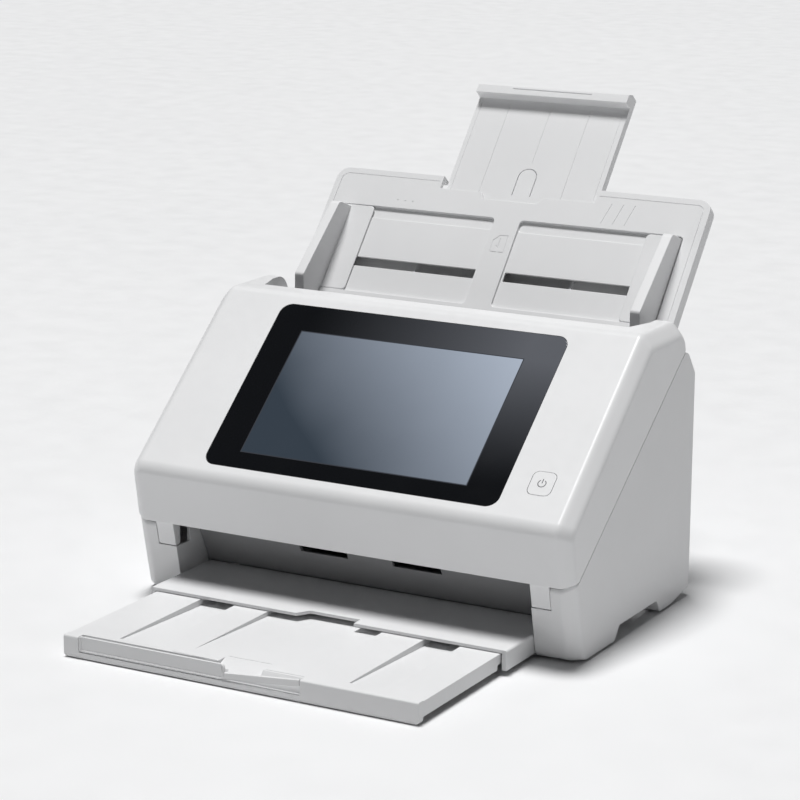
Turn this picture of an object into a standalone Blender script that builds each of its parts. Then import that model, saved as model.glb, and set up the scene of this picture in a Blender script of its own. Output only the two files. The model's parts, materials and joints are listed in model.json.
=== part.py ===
"""Sheet fed document scanner with a touch screen, as an assembly of separate parts.

Frame: +X to the right seen from the front, -Y towards the user, +Z up, metres.
The scanner stands on the plane Z = 0.  Depths are measured behind the front fold
of the cover, and depth() turns them into Y.
"""
import math

import bmesh
import bpy
from mathutils import Matrix, Vector

MM = 0.001
GAP = 0.3 * MM                       # clearance between fixed neighbours
RUN = 0.06 * MM                      # radial clearance of a turning shaft

# Housing
BODY_HALF = 158 * MM
FOLD_Y = -92.7 * MM                  # Y of the cover's front fold
FOLD_Z = 89 * MM
COVER_BOTTOM = (6.6 * MM, 51.2 * MM)     # depth and height of the cover's lower front edge
SLANT_ANGLE = math.radians(40.2)
SLANT_LENGTH = 152 * MM
TOP_Z = FOLD_Z + SLANT_LENGTH * math.sin(SLANT_ANGLE)
COVER_REAR = 172 * MM
SEAM_LOW = (12.9 * MM, 51.2 * MM)        # seam between the cover and the side covers
SEAM_HIGH = (170.4 * MM, 167.8 * MM)
SEAM_SHIFT = 3.2 * MM                    # how much deeper the seam starts on the side face
PILLAR_FOOT = (19.3 * MM, 1.5 * MM)
PILLAR_HEAD = (8.2 * MM, 50.9 * MM)
REAR_DEPTH = 188.8 * MM
REAR_TOP = 151 * MM
BODY_BOTTOM = 1.5 * MM
ARCH_START, ARCH_END, ARCH_TOP = 70.2 * MM, 139 * MM, 10 * MM
SHELL = 2.4 * MM                     # wall of the moulded covers
EDGE_X = 7.6 * MM                    # width of the chamfer along the sides
EDGE_IN = 7 * MM                     # how far that chamfer cuts into the slanted face
FRONT_IN, TOP_IN, REAR_IN = 6 * MM, 9 * MM, 3 * MM
INNER_HALF = BODY_HALF - 3 * MM      # inner face of the side walls
LEDGE_TOP = REAR_TOP - 2 * MM        # top of the rear cover, under the chute's foot
PORTS = {                            # x, z, width and height on the rear wall
    "power_jack": (-118 * MM, 40 * MM, 12 * MM, 13 * MM),
    "usb_port": (-92 * MM, 40 * MM, 14 * MM, 13 * MM),
    "lan_port": (-62 * MM, 40 * MM, 17 * MM, 15 * MM),
}
PORT_PLATE = ((-130 * MM, -47 * MM), (28 * MM, 52 * MM))     # x and z of the plate round them
INLET_HALF = 134 * MM
INLET_DEPTH = 131.8 * MM
SHOULDER_HALF = 140 * MM             # the inlet widens behind this depth
SHOULDER_DEPTH = 152 * MM

# Exit bay, shelf and tray
PILLAR_HALF = 128.3 * MM             # half the clear width between the pillars
BAY_DEPTH = 50 * MM
SHELF_HALF = 127.8 * MM
SHELF_FRONT = -19 * MM
SHELF_TOP = 16.2 * MM
SHELF_WALL = 3.4 * MM
TRAY_HALF = 123.4 * MM
TRAY_FRONT = -121 * MM
TRAY_TOP = 13.6 * MM
TRAY_SKIRT = 4 * MM
LIP_DEPTH = 6 * MM
LIP_TOP = 14.2 * MM
LIP_BOTTOM = 0.5 * MM
CHANNELS = ((-90 * MM, -65 * MM), (71 * MM, 96 * MM))
STOPPER_X = (-112 * MM, -8 * MM, 44 * MM)
STOPPER_AXIS = (-118.2 * MM, 13 * MM)
STOPPER_PIN = 0.8 * MM
NOTCH_HALF = 15.5 * MM               # finger notch behind the stopper's bar

# Cover hinge
HINGE = (12 * MM, 47.5 * MM)
HINGE_PIN = 1.5 * MM
ARM_X = (128.6 * MM, 141.6 * MM)

# Display and button, in the plane of the slanted face
GLASS_HALF = 105 * MM
GLASS_S = (10 * MM, 143 * MM)
GLASS_THICK = 1.2 * MM
GLASS_RADIUS = 8 * MM
BUTTON_AT = (128 * MM, 32 * MM)
BUTTON_SIZE = (15.6 * MM, 17.4 * MM)
BUTTON_TRAVEL = 0.8 * MM

# Chute, in its own plane
CHUTE_AT = (186.25 * MM, 180.46 * MM)
CHUTE_ANGLE = math.radians(49.8)
CHUTE_HALF = 141.5 * MM
CHUTE_FOOT, CHUTE_HEAD = -20 * MM, 93 * MM
CHUTE_THICK = 9 * MM
PANEL = 3.2 * MM
RECESS = 1.6 * MM
SPINE_HALF = 9.7 * MM
RECESS_T = (-3.6 * MM, 64 * MM)
SLOT_T = (16.9 * MM, 23.9 * MM)
EXT_HALF = 57.6 * MM
EXT_FRONT = -6 * MM
EXT_BACK = -12 * MM
EXT_FOOT, EXT_HEAD = 66 * MM, 170 * MM
NOTCH_T = 83 * MM
TONGUE_T = (86 * MM, 103.5 * MM)
GUIDE_WALL = (121.5 * MM, 128.5 * MM)
GUIDE_PLATE_X = 103 * MM
RACK_PITCH_T = 20.4 * MM
RACK_N = (-5.6 * MM, -3.5 * MM)      # thickness of the racks below the chute's surface
RACK_TEETH = 35
GUIDE_PINION_TEETH = 16
TAB_X, TAB_HALF = 133 * MM, 5 * MM

# Paper path: a plane through its lower end, rising to the rear
PATH_AT = (36 * MM, 46 * MM)
PATH_ANGLE = math.radians(36.5)
PATH_GAP = 0.9 * MM
GUIDE_SHEET = 2 * MM
PATH_HALF = 125.5 * MM
ROLLER_AXES = {                      # place along the path and radius
    "exit": (20 * MM, 7 * MM),
    "conveyor": (100 * MM, 8 * MM),
    "feed": (134 * MM, 9 * MM),
}
PINCH_R, IDLER_R = 5 * MM, 6 * MM
NIP = 0.4 * MM
SHAFT_R = 3 * MM
FRAME_X = (131.4 * MM, 132.9 * MM)
MODULE = 1 * MM
CONVEYOR_TEETH, MOTOR_TEETH, FEED_TEETH, IDLER_TEETH = 40, 12, 20, 14
FEED_GEAR_X = (-137.5 * MM, -134 * MM)
GEAR_X = (-142 * MM, -138.5 * MM)
BELT_X = (-146.8 * MM, -143 * MM)
PULLEY_R = 4.8 * MM
BELT_THICK = MM
MOTOR_SHAFT = 2.5 * MM
MOTOR_R = 17 * MM

COLOURS = {
    "white": ((0.80, 0.81, 0.82), 0.45, 0.0),
    "grey": ((0.55, 0.56, 0.57), 0.5, 0.0),
    "dark": ((0.05, 0.05, 0.055), 0.5, 0.0),
    "glass": ((0.02, 0.023, 0.03), 0.08, 0.0),
    "screen": ((0.25, 0.31, 0.37), 0.25, 0.0),
    "rubber": ((0.03, 0.03, 0.03), 0.8, 0.0),
    "steel": ((0.6, 0.6, 0.62), 0.35, 1.0),
    "board": ((0.05, 0.2, 0.09), 0.5, 0.0),
    "nylon": ((0.75, 0.74, 0.68), 0.5, 0.0),
}


# ---------------------------------------------------------------- helpers

def clear_scene():
    for obj in list(bpy.data.objects):
        bpy.data.objects.remove(obj, do_unlink=True)


def depth(value):
    return FOLD_Y + value


def material(key):
    name = "mat_" + key
    if name in bpy.data.materials:
        return bpy.data.materials[name]
    colour, roughness, metallic = COLOURS[key]
    made = bpy.data.materials.new(name)
    made.use_nodes = True
    shader = made.node_tree.nodes["Principled BSDF"]
    shader.inputs["Base Color"].default_value = (*colour, 1.0)
    shader.inputs["Roughness"].default_value = roughness
    shader.inputs["Metallic"].default_value = metallic
    return made


def empty(name, location, turn_x=0.0, parent=None):
    made = bpy.data.objects.new(name, None)
    bpy.context.collection.objects.link(made)
    made.parent = parent
    made.location = location
    made.rotation_euler = (turn_x, 0.0, 0.0)
    bpy.context.view_layer.update()
    return made


def adopt(obj, parent):
    """Hang obj on an empty without moving it."""
    bpy.context.view_layer.update()
    obj.parent = parent
    obj.matrix_parent_inverse = parent.matrix_world.inverted()


def new_object(name, mesh_maker, colour, parent=None, location=(0, 0, 0)):
    mesh = bpy.data.meshes.new(name)
    bm = bmesh.new()
    mesh_maker(bm)
    bmesh.ops.recalc_face_normals(bm, faces=bm.faces)
    bm.to_mesh(mesh)
    bm.free()
    obj = bpy.data.objects.new(name, mesh)
    bpy.context.collection.objects.link(obj)
    obj.data.materials.append(material(colour))
    obj.parent = parent
    obj.location = location
    return obj


def loft(bm, loops):
    """Close a solid through loops of equal length, capped at both ends."""
    rings = [[bm.verts.new(point) for point in loop] for loop in loops]
    count = len(rings[0])
    for low, high in zip(rings, rings[1:]):
        for i in range(count):
            j = (i + 1) % count
            bm.faces.new((low[i], low[j], high[j], high[i]))
    bm.faces.new(rings[0][::-1])
    bm.faces.new(rings[-1])


def prism_x(name, outline, low, high, colour="white", parent=None, location=(0, 0, 0)):
    """Solid between two X values with a (y, z) outline."""
    loops = [[(x, y, z) for y, z in outline] for x in (low, high)]
    return new_object(name, lambda bm: loft(bm, loops), colour, parent, location)


def prism_z(name, outline, low, high, colour="white", parent=None, location=(0, 0, 0)):
    """Solid between two Z values with an (x, y) outline."""
    loops = [[(x, y, z) for x, y in outline] for z in (low, high)]
    return new_object(name, lambda bm: loft(bm, loops), colour, parent, location)


def prism_y(name, outline, low, high, colour="white", parent=None, location=(0, 0, 0)):
    """Solid between two Y values with an (x, z) outline."""
    loops = [[(x, y, z) for x, z in outline] for y in (low, high)]
    return new_object(name, lambda bm: loft(bm, loops), colour, parent, location)


def box(name, x, y, z, colour="white", parent=None):
    return prism_z(name, rectangle(x, y), z[0], z[1], colour, parent)


def rectangle(x, y):
    return [(x[0], y[0]), (x[1], y[0]), (x[1], y[1]), (x[0], y[1])]


def round_corners(corners, segments=5):
    """Outline from (a, b, radius) corners; a radius of zero keeps the corner sharp."""
    outline = []
    count = len(corners)
    for i, (a, b, radius) in enumerate(corners):
        here = Vector((a, b))
        before = Vector(corners[i - 1][:2])
        after = Vector(corners[(i + 1) % count][:2])
        if radius <= 0:
            outline.append((a, b))
            continue
        to_before = (before - here).normalized()
        to_after = (after - here).normalized()
        half = math.acos(max(-1.0, min(1.0, to_before.dot(to_after)))) / 2
        reach = radius / math.tan(half)
        centre = here + (to_before + to_after).normalized() * radius / math.sin(half)
        start = here + to_before * reach - centre
        end = here + to_after * reach - centre
        sweep = start.angle_signed(end)
        for k in range(segments + 1):
            turned = Matrix.Rotation(-sweep * k / segments, 2) @ start
            outline.append(tuple(centre + turned))
    return outline


def inset_corners(corners, distances):
    """Move edge i of a clockwise or anticlockwise polygon inwards by distances[i]."""
    count = len(corners)
    points = [Vector(corner[:2]) for corner in corners]
    area = sum(points[i - 1].x * points[i].y - points[i].x * points[i - 1].y
               for i in range(count))
    side = 1 if area > 0 else -1
    lines = []
    for i in range(count):
        along = (points[(i + 1) % count] - points[i]).normalized()
        normal = Vector((-along.y, along.x)) * side
        lines.append((points[i] + normal * distances[i], along))
    moved = []
    for i in range(count):
        base, along = lines[i]
        other, other_along = lines[i - 1]
        cross = other_along.x * along.y - other_along.y * along.x
        offset = base - other
        reach = (offset.x * along.y - offset.y * along.x) / cross
        point = other + other_along * reach
        moved.append((point.x, point.y, corners[i][2]))
    return moved


def circle(radius, count=24, centre=(0, 0)):
    return [(centre[0] + radius * math.cos(math.tau * i / count),
             centre[1] + radius * math.sin(math.tau * i / count)) for i in range(count)]


def rounded_rectangle(x, y, radius, segments=5):
    corners = [(a, b, radius) for a, b in rectangle(x, y)]
    return round_corners(corners, segments)


def turned_x(name, steps, colour, location, count=24, parent=None):
    """Turned piece about X from (x, radius) steps."""
    loops = [[(x, y, z) for y, z in circle(radius, count)] for x, radius in steps]
    return new_object(name, lambda bm: loft(bm, loops), colour, parent, location)


def tube_x(name, outer, inner, low, high, colour, location, count=24):
    def make(bm):
        rings = []
        for radius, x in ((outer, low), (outer, high), (inner, high), (inner, low)):
            rings.append([bm.verts.new((x, y, z)) for y, z in circle(radius, count)])
        rings.append(rings[0])
        for first, second in zip(rings, rings[1:]):
            for i in range(count):
                j = (i + 1) % count
                bm.faces.new((first[i], first[j], second[j], second[i]))
    return new_object(name, make, colour, None, location)


def gear_outline(teeth, phase=0.0):
    """Involute spur gear outline of the common module, tooth 0 centred on phase."""
    pitch = MODULE * teeth / 2
    pressure = math.radians(20)
    base = pitch * math.cos(pressure)
    root = pitch - 1.2 * MODULE
    tip = pitch + 0.9 * MODULE
    backlash = 0.12 * MODULE

    def half_angle(radius):
        radius = max(radius, base)
        alpha = math.acos(base / radius)
        thick = math.pi / (2 * teeth) - backlash / pitch
        return thick + math.tan(pressure) - pressure - (math.tan(alpha) - alpha)

    radii = (root, max(base, root + 0.1 * MODULE), pitch, tip)
    outline = []
    for tooth in range(teeth):
        centre = phase + math.tau * tooth / teeth
        flank = [(radius, half_angle(radius)) for radius in radii]
        for radius, half in flank:
            outline.append((radius * math.cos(centre - half), radius * math.sin(centre - half)))
        for radius, half in reversed(flank):
            outline.append((radius * math.cos(centre + half), radius * math.sin(centre + half)))
    return outline


def gear_x(name, teeth, bore, low, high, location, phase, colour="nylon"):
    gear = prism_x(name, gear_outline(teeth, phase), low, high, colour, None, location)
    return drill_x(gear, bore, location, (low - MM, high + MM))


def combine(target, other, operation):
    """Cut other from target, or join it on, and use up other."""
    bpy.context.view_layer.update()
    modifier = target.modifiers.new("combine", "BOOLEAN")
    modifier.operation = operation
    modifier.solver = "EXACT"
    modifier.object = other
    bpy.context.view_layer.update()
    graph = bpy.context.evaluated_depsgraph_get()
    mesh = bpy.data.meshes.new_from_object(target.evaluated_get(graph))
    target.modifiers.clear()
    old = target.data
    target.data = mesh
    bpy.data.meshes.remove(old)
    bpy.data.objects.remove(other, do_unlink=True)
    return target


def cut(target, other):
    return combine(target, other, "DIFFERENCE")


def join(target, other):
    return combine(target, other, "UNION")


def drill_x(target, radius, centre, span, count=24):
    """Hole along X through target; centre is (x, y, z) in the world."""
    steps = ((span[0], radius), (span[1], radius))
    return cut(target, turned_x("drill", steps, "dark", centre, count))


def seam_height(d):
    """Height of the cover's seam at depth d."""
    slope = (SEAM_HIGH[1] - SEAM_LOW[1]) / (SEAM_HIGH[0] - SEAM_LOW[0])
    return SEAM_LOW[1] + slope * (d - SEAM_LOW[0])


def seam_ends(front, drop, share):
    """Front end of the seam, drop below the seam itself, as two corners.

    front is the foot and head (depth, height) of the front face.  share grows from 0 on
    the front face to 1 on the side face, where the seam starts deeper and higher.
    """
    d = SEAM_LOW[0] + share * SEAM_SHIFT
    height = seam_height(d) - drop
    (d0, z0), (d1, z1) = front
    on_face = d0 + (d1 - d0) * (height - z0) / (z1 - z0)
    return (depth(on_face), height), (depth(d), height)


def path_point(s, h):
    """World (y, z) of a point s up the paper path and h above it."""
    c, k = math.cos(PATH_ANGLE), math.sin(PATH_ANGLE)
    return (depth(PATH_AT[0] + s * c - h * k), PATH_AT[1] + s * k + h * c)


def path_centre(s, h):
    return (0.0, *path_point(s, h))


# ---------------------------------------------------------------- housing

def side_corners(share=0.0):
    """Side cover profile, from the front foot upwards; share as in seam_ends."""
    rear = depth(REAR_DEPTH)
    head, start = seam_ends((PILLAR_FOOT, PILLAR_HEAD), GAP, share)
    return [
        (depth(PILLAR_FOOT[0]), PILLAR_FOOT[1], 6 * MM),
        (*head, (3.5 - 1.7 * share) * MM),
        (*start, 0),
        (depth(SEAM_HIGH[0]), SEAM_HIGH[1] - GAP, 0),
        (depth(178.5 * MM), 164.5 * MM, 5 * MM),
        (rear, REAR_TOP, 5 * MM),
        (rear, 5.5 * MM, 3 * MM),
        (depth(163 * MM), BODY_BOTTOM, 0),
        (depth(ARCH_END), BODY_BOTTOM, 2 * MM),
        (depth(ARCH_END - 5 * MM), ARCH_TOP, 4 * MM),
        (depth(ARCH_START + 7 * MM), ARCH_TOP, 3 * MM),
        (depth(ARCH_START), BODY_BOTTOM, 3 * MM),
    ]


def side_hollow():
    """Inside of a side cover behind its rim."""
    rear = depth(REAR_DEPTH - 4 * MM)
    return [
        (depth(BAY_DEPTH - 2 * MM), 12.5 * MM),
        (depth(BAY_DEPTH - 2 * MM), seam_height(BAY_DEPTH) - 8 * MM),
        (depth(166 * MM), seam_height(166 * MM) - 7 * MM),
        (depth(174 * MM), 158 * MM),
        (rear, 146 * MM),
        (rear, 12.5 * MM),
    ]


def pillar_outline(wall):
    """Front pillar, or its hollow when wall is not zero; the hollow is open at the rear."""
    back = depth(BAY_DEPTH)
    corners = [
        (depth(PILLAR_FOOT[0]), PILLAR_FOOT[1], 6 * MM),
        (depth(PILLAR_HEAD[0]), PILLAR_HEAD[1], 3.5 * MM),
        (back, COVER_BOTTOM[1] - GAP, 0),
        (back, PILLAR_FOOT[1], 0),
    ]
    if wall:
        corners = inset_corners(corners, [wall, wall, -MM, wall])
        corners = [(y, z, max(0, radius - wall)) for y, z, radius in corners]
    return round_corners(corners)


def make_side_cover(name, side):
    """One side of the housing with its front pillar; side is -1 or 1."""
    insets = [FRONT_IN, 0, 0, 1.4 * MM, REAR_IN, REAR_IN, MM, 0, 0, 0, 0, 0]
    inner = round_corners(side_corners())
    outer = round_corners(inset_corners(side_corners(1.0), insets))
    edge = BODY_HALF - EDGE_X
    rim = edge - SHELL
    loops = [[(side * x, y, z) for y, z in outline]
             for x, outline in ((rim, inner), (edge, inner), (BODY_HALF, outer))]
    cover = new_object(name, lambda bm: loft(bm, loops), "white")
    cut(cover, prism_x("hollow", side_hollow(), side * (rim - MM), side * INNER_HALF))
    join(cover, prism_x("pillar", pillar_outline(0), side * PILLAR_HALF, side * (rim + MM)))
    cut(cover, prism_x("hollow", pillar_outline(SHELL),
                       side * (PILLAR_HALF + SHELL), side * (edge - MM)))
    cut(cover, box("slot", sorted((side * (PILLAR_HALF - MM), side * (ARM_X[1] + GAP))),
                   (depth(0), depth(28 * MM)), (34.8 * MM, 53 * MM)))
    join(cover, box("boss", sorted((side * (ARM_X[1] + GAP), side * (ARM_X[1] + 5 * MM))),
                    (depth(10.6 * MM), depth(17 * MM)), (42 * MM, 49.6 * MM)))
    drill_x(cover, HINGE_PIN + RUN, (0, depth(HINGE[0]), HINGE[1]),
            sorted((side * ARM_X[0], side * (ARM_X[1] + 6 * MM))))
    return cover


def make_base_pan():
    half = BODY_HALF - EDGE_X - SHELL - GAP
    half_path = [
        (SHELF_HALF, 22 * MM), (SHELF_HALF, BAY_DEPTH + 2 * MM), (half, BAY_DEPTH + 2 * MM),
        (half, ARCH_START - 2 * MM), (SHELF_HALF, ARCH_START - 2 * MM),
        (SHELF_HALF, ARCH_END + 2 * MM), (half, ARCH_END + 2 * MM), (half, 180 * MM),
    ]
    right = [(x, depth(d)) for x, d in half_path]
    left = [(-x, y) for x, y in reversed(right)]
    return prism_z("base_pan", right + left, 1.4 * MM, 3 * MM, "grey")


def make_rear_cover():
    """Rear wall with a ledge under the chute's foot."""
    half = BODY_HALF - EDGE_X - SHELL - GAP
    rear = depth(REAR_DEPTH)
    outline = round_corners([
        (rear - 3 * MM, 4 * MM, 0), (rear, 4 * MM, 0), (rear, LEDGE_TOP, 2 * MM),
        (depth(157 * MM), LEDGE_TOP, 0), (depth(157 * MM), LEDGE_TOP - SHELL, 0),
        (rear - 3 * MM, LEDGE_TOP - SHELL, 0),
    ], 3)
    cover = prism_x("rear_cover", outline, -half, half)
    cut(cover, box("step", (-PATH_HALF - MM, PATH_HALF + MM), (depth(150 * MM), depth(168 * MM)),
                   (LEDGE_TOP - 5 * MM, LEDGE_TOP + MM)))
    (low_x, high_x), (low_z, high_z) = PORT_PLATE
    cut(cover, box("plate_hole", (low_x - GAP, high_x + GAP), (rear - 6 * MM, rear + MM),
                   (low_z - GAP, high_z + GAP)))
    for side in (-1, 1):
        x = side * TAB_X
        cut(cover, box("tab_hole", (x - TAB_HALF - 0.5 * MM, x + TAB_HALF + 0.5 * MM),
                       (depth(160 * MM), depth(169.5 * MM)), (LEDGE_TOP - 5 * MM, LEDGE_TOP + MM)))
    return cover


def make_ports():
    """Sockets on the main board, in a steel plate let into the rear cover."""
    rear = depth(REAR_DEPTH)
    plate = box("port_plate", PORT_PLATE[0], (rear - 2.6 * MM, rear - 0.6 * MM), PORT_PLATE[1],
                "steel")
    for name, (x, z, wide, high) in PORTS.items():
        cut(plate, box("port_hole", (x - wide / 2 - GAP, x + wide / 2 + GAP),
                       (rear - 6 * MM, rear + MM), (z - high / 2 - GAP, z + high / 2 + GAP)))
        body = box(name, (x - wide / 2, x + wide / 2), (rear - 16 * MM, rear - 0.4 * MM),
                   (z - high / 2, z + high / 2), "dark" if name == "power_jack" else "steel")
        if name == "power_jack":
            socket = prism_y("socket", circle(3.6 * MM, 20, (x, z)), rear - 12 * MM, rear + MM)
        else:
            wall = 1.2 * MM
            socket = box("socket", (x - wide / 2 + wall, x + wide / 2 - wall),
                         (rear - 12 * MM, rear + MM), (z - high / 2 + wall, z + high / 2 - wall))
        cut(body, socket)
    return box("main_board", (-128 * MM, -30 * MM), (depth(142 * MM), depth(184 * MM)),
               (30.5 * MM, 32 * MM), "board")


def make_feet():
    for side, side_name in ((-1, "left"), (1, "right")):
        for d, end_name, under in ((40 * MM, "front", BODY_BOTTOM), (158 * MM, "rear", 1.4 * MM)):
            prism_z("foot_%s_%s" % (end_name, side_name), circle(7 * MM, 20), 0, under - GAP,
                    "rubber", None, (side * 140 * MM, depth(d), 0))


def make_frames():
    """Steel side plates that carry the shafts."""
    foot = 3.4 * MM
    under = -1.2 * MM
    front = depth(BAY_DEPTH + MM)
    rear = depth(170 * MM)
    low_end = path_point(19.5 * MM, under)
    high_end = path_point(150 * MM, under)
    outline = [(front, foot), (front, low_end[1] - 3 * MM), low_end, high_end,
               (rear, high_end[1]), (rear, foot)]
    for side, name in ((-1, "left_frame"), (1, "right_frame")):
        frame = prism_x(name, outline, side * FRAME_X[0], side * FRAME_X[1], "steel")
        span = sorted((side * (FRAME_X[0] - MM), side * (FRAME_X[1] + MM)))
        for s, radius in ROLLER_AXES.values():
            drill_x(frame, SHAFT_R + RUN, path_centre(s, -radius - NIP), span)
        if side < 0:
            drill_x(frame, SHAFT_R + RUN, idler_centre(), span)
            drill_x(frame, MOTOR_SHAFT + RUN, motor_centre(), span)


# ---------------------------------------------------------------- shelf, tray and stopper

def make_shelf():
    """Fixed shelf of the exit bay: a plate on two side walls, with a finger notch."""
    front, back = depth(SHELF_FRONT), depth(BAY_DEPTH)
    under = TRAY_TOP + 0.4 * MM
    wall = SHELF_HALF - SHELF_WALL
    outline = round_corners([
        (-SHELF_HALF, 3.3 * MM, 0), (-wall, 3.3 * MM, 0), (-wall, under, 0), (wall, under, 0),
        (wall, 3.3 * MM, 0), (SHELF_HALF, 3.3 * MM, 0), (SHELF_HALF, SHELF_TOP, 1.5 * MM),
        (-SHELF_HALF, SHELF_TOP, 1.5 * MM),
    ], 3)
    shelf = prism_y("output_shelf", outline, front, back, "white")
    notch = round_corners([
        (-26 * MM, front - MM, 0), (-19 * MM, front, 3 * MM), (-14 * MM, front + 8.5 * MM, 3 * MM),
        (22 * MM, front + 8.5 * MM, 0), (22 * MM, front - MM, 0),
    ])
    return cut(shelf, prism_z("notch", notch, under - MM, SHELF_TOP + MM))


def make_exit_guide():
    """Leaning rear wall of the exit bay, with two windows in front of the exit roller."""
    lean = [(50 * MM, SHELF_TOP + GAP), (52.4 * MM, SHELF_TOP + GAP), (39.4 * MM, 44.5 * MM),
            (36.8 * MM, 44 * MM)]
    wall = prism_x("exit_guide", [(depth(d), z) for d, z in lean],
                   -PILLAR_HALF + GAP, PILLAR_HALF - GAP, "grey")
    for side in (-1, 1):
        x = sorted((side * 16.5 * MM, side * 51.5 * MM))
        cut(wall, box("window", x, (depth(30 * MM), depth(60 * MM)), (36 * MM, 42.6 * MM)))
    return wall


def make_tray():
    """Sliding tray: plate with skirts, front lip, two channels and a dished middle."""
    front, rear = depth(TRAY_FRONT), depth(8 * MM)
    lip_back = front + LIP_DEPTH
    ceiling = 7.2 * MM
    profile = [
        (front, LIP_BOTTOM, 1.2 * MM), (front, LIP_TOP, 1.2 * MM), (lip_back, LIP_TOP, 0),
        (lip_back, TRAY_TOP, 0), (rear, TRAY_TOP, 0), (rear, ceiling, 0),
        (depth(-22 * MM), ceiling, 0), (depth(-22 * MM), TRAY_SKIRT, 0),
        (lip_back, TRAY_SKIRT, 0), (lip_back, LIP_BOTTOM, 0),
    ]
    tray = prism_x("tray_extension", round_corners(profile, 3), -TRAY_HALF, TRAY_HALF)
    inner = TRAY_HALF - 2.6 * MM
    cut(tray, box("hollow", (-inner, inner), (lip_back, depth(-20 * MM)), (2 * MM, ceiling)))
    start = depth(-108.6 * MM)
    above = TRAY_TOP + MM
    wedge = [(start, above), (start, TRAY_TOP - 1.2 * MM), (rear + MM, TRAY_TOP - 5 * MM),
             (rear + MM, above)]
    for low, high in CHANNELS:
        cut(tray, prism_x("channel", wedge, low, high))
    dish = [(depth(-106 * MM), above), (depth(-106 * MM), TRAY_TOP),
            (depth(-22 * MM), TRAY_TOP - 3 * MM), (rear + MM, TRAY_TOP - 3 * MM),
            (rear + MM, above)]
    cut(tray, prism_x("dish", dish, -40 * MM, 42 * MM))
    low, middle, high = STOPPER_X
    above = LIP_TOP + MM
    flap_seat = [(front - MM, 4.4 * MM), (front + 2.8 * MM, 4.4 * MM),
                 (front + 7 * MM, TRAY_TOP - MM), (front + 7 * MM, above), (front - MM, above)]
    cut(tray, prism_x("flap_seat", flap_seat, low - 0.4 * MM, middle + 0.4 * MM))
    bar_seat = [(front - MM, 4.4 * MM), (front + 2.8 * MM, 4.4 * MM), (front + 4.4 * MM, above),
                (front - MM, above)]
    cut(tray, prism_x("bar_seat", bar_seat, middle - MM, high + 0.4 * MM))
    for reach, x in ((17 * MM, (middle - 8 * MM, NOTCH_HALF)),
                     (7 * MM, (NOTCH_HALF - MM, high + 0.4 * MM))):
        slope = [(front + 2 * MM, 8.6 * MM), (front + reach, LIP_TOP), (front + reach, above),
                 (front + 2 * MM, above)]
        cut(tray, prism_x("slope", slope, *x))
    drill_x(tray, STOPPER_PIN + RUN, (0, depth(STOPPER_AXIS[0]), STOPPER_AXIS[1]),
            (low - 4 * MM, high + 4 * MM), 16)
    return tray


def make_stopper():
    """Flap that folds up from the tray's lip, with a tapered finger bar beside it."""
    low, middle, high = STOPPER_X
    pivot = empty("stopper_pivot", (0, depth(STOPPER_AXIS[0]), STOPPER_AXIS[1]))
    front = -2.7 * MM
    back = -0.3 * MM
    face = round_corners([
        (low, -8.1 * MM, 0.8 * MM), (middle, -8.1 * MM, 2.5 * MM), (middle, 1.3 * MM, 2.5 * MM),
        (low, 1.3 * MM, 0.8 * MM),
    ], 4)
    flap = prism_y("paper_stopper", face, front, back, "white", pivot)
    bar = [(middle - 4 * MM, -8 * MM), (high, -3 * MM), (high, 0.9 * MM), (middle - 4 * MM, -4 * MM)]
    join(flap, prism_y("bar", bar, front + 0.1 * MM, back, "white", pivot))
    for end, reach in ((low, -3 * MM), (high, 3 * MM)):
        steps = sorted(((end + reach, STOPPER_PIN), (end - reach / 3, STOPPER_PIN)))
        join(flap, turned_x("stub", steps, "white", (0, 0, 0), 16, pivot))
    return flap


# ---------------------------------------------------------------- paper path

def path_strip(points):
    return [path_point(s, h) for s, h in points]


def path_box(name, x, s, h, colour):
    outline = path_strip(((s[0], h[0]), (s[1], h[0]), (s[1], h[1]), (s[0], h[1])))
    return prism_x(name, outline, x[0], x[1], colour)


def make_lower_guide():
    """Lower sheet of the paper path, bent up at the rear towards the chute's foot."""
    top, under = -PATH_GAP, -PATH_GAP - GUIDE_SHEET
    foot = (depth(171.2 * MM), 162.6 * MM)
    outline = path_strip(((2 * MM, top), (149 * MM, top)))
    outline += [foot, (foot[0] + 2 * MM, foot[1])]
    outline += path_strip(((150.4 * MM, under), (4 * MM, under)))
    guide = prism_x("lower_paper_guide", outline, -PATH_HALF, PATH_HALF, "grey")
    tall = (-8 * MM, 5 * MM)
    cut(guide, path_box("window", (-54 * MM, 54 * MM), (12.5 * MM, 27.5 * MM), tall, "dark"))
    cut(guide, path_box("window", (-72 * MM, 72 * MM), (91.5 * MM, 108.5 * MM), tall, "dark"))
    cut(guide, path_box("window", (-28 * MM, 28 * MM), (124.5 * MM, 143.5 * MM), tall, "dark"))
    cut(guide, path_box("window", (-112 * MM, 112 * MM), (44 * MM, 60 * MM), tall, "dark"))
    return guide


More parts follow.
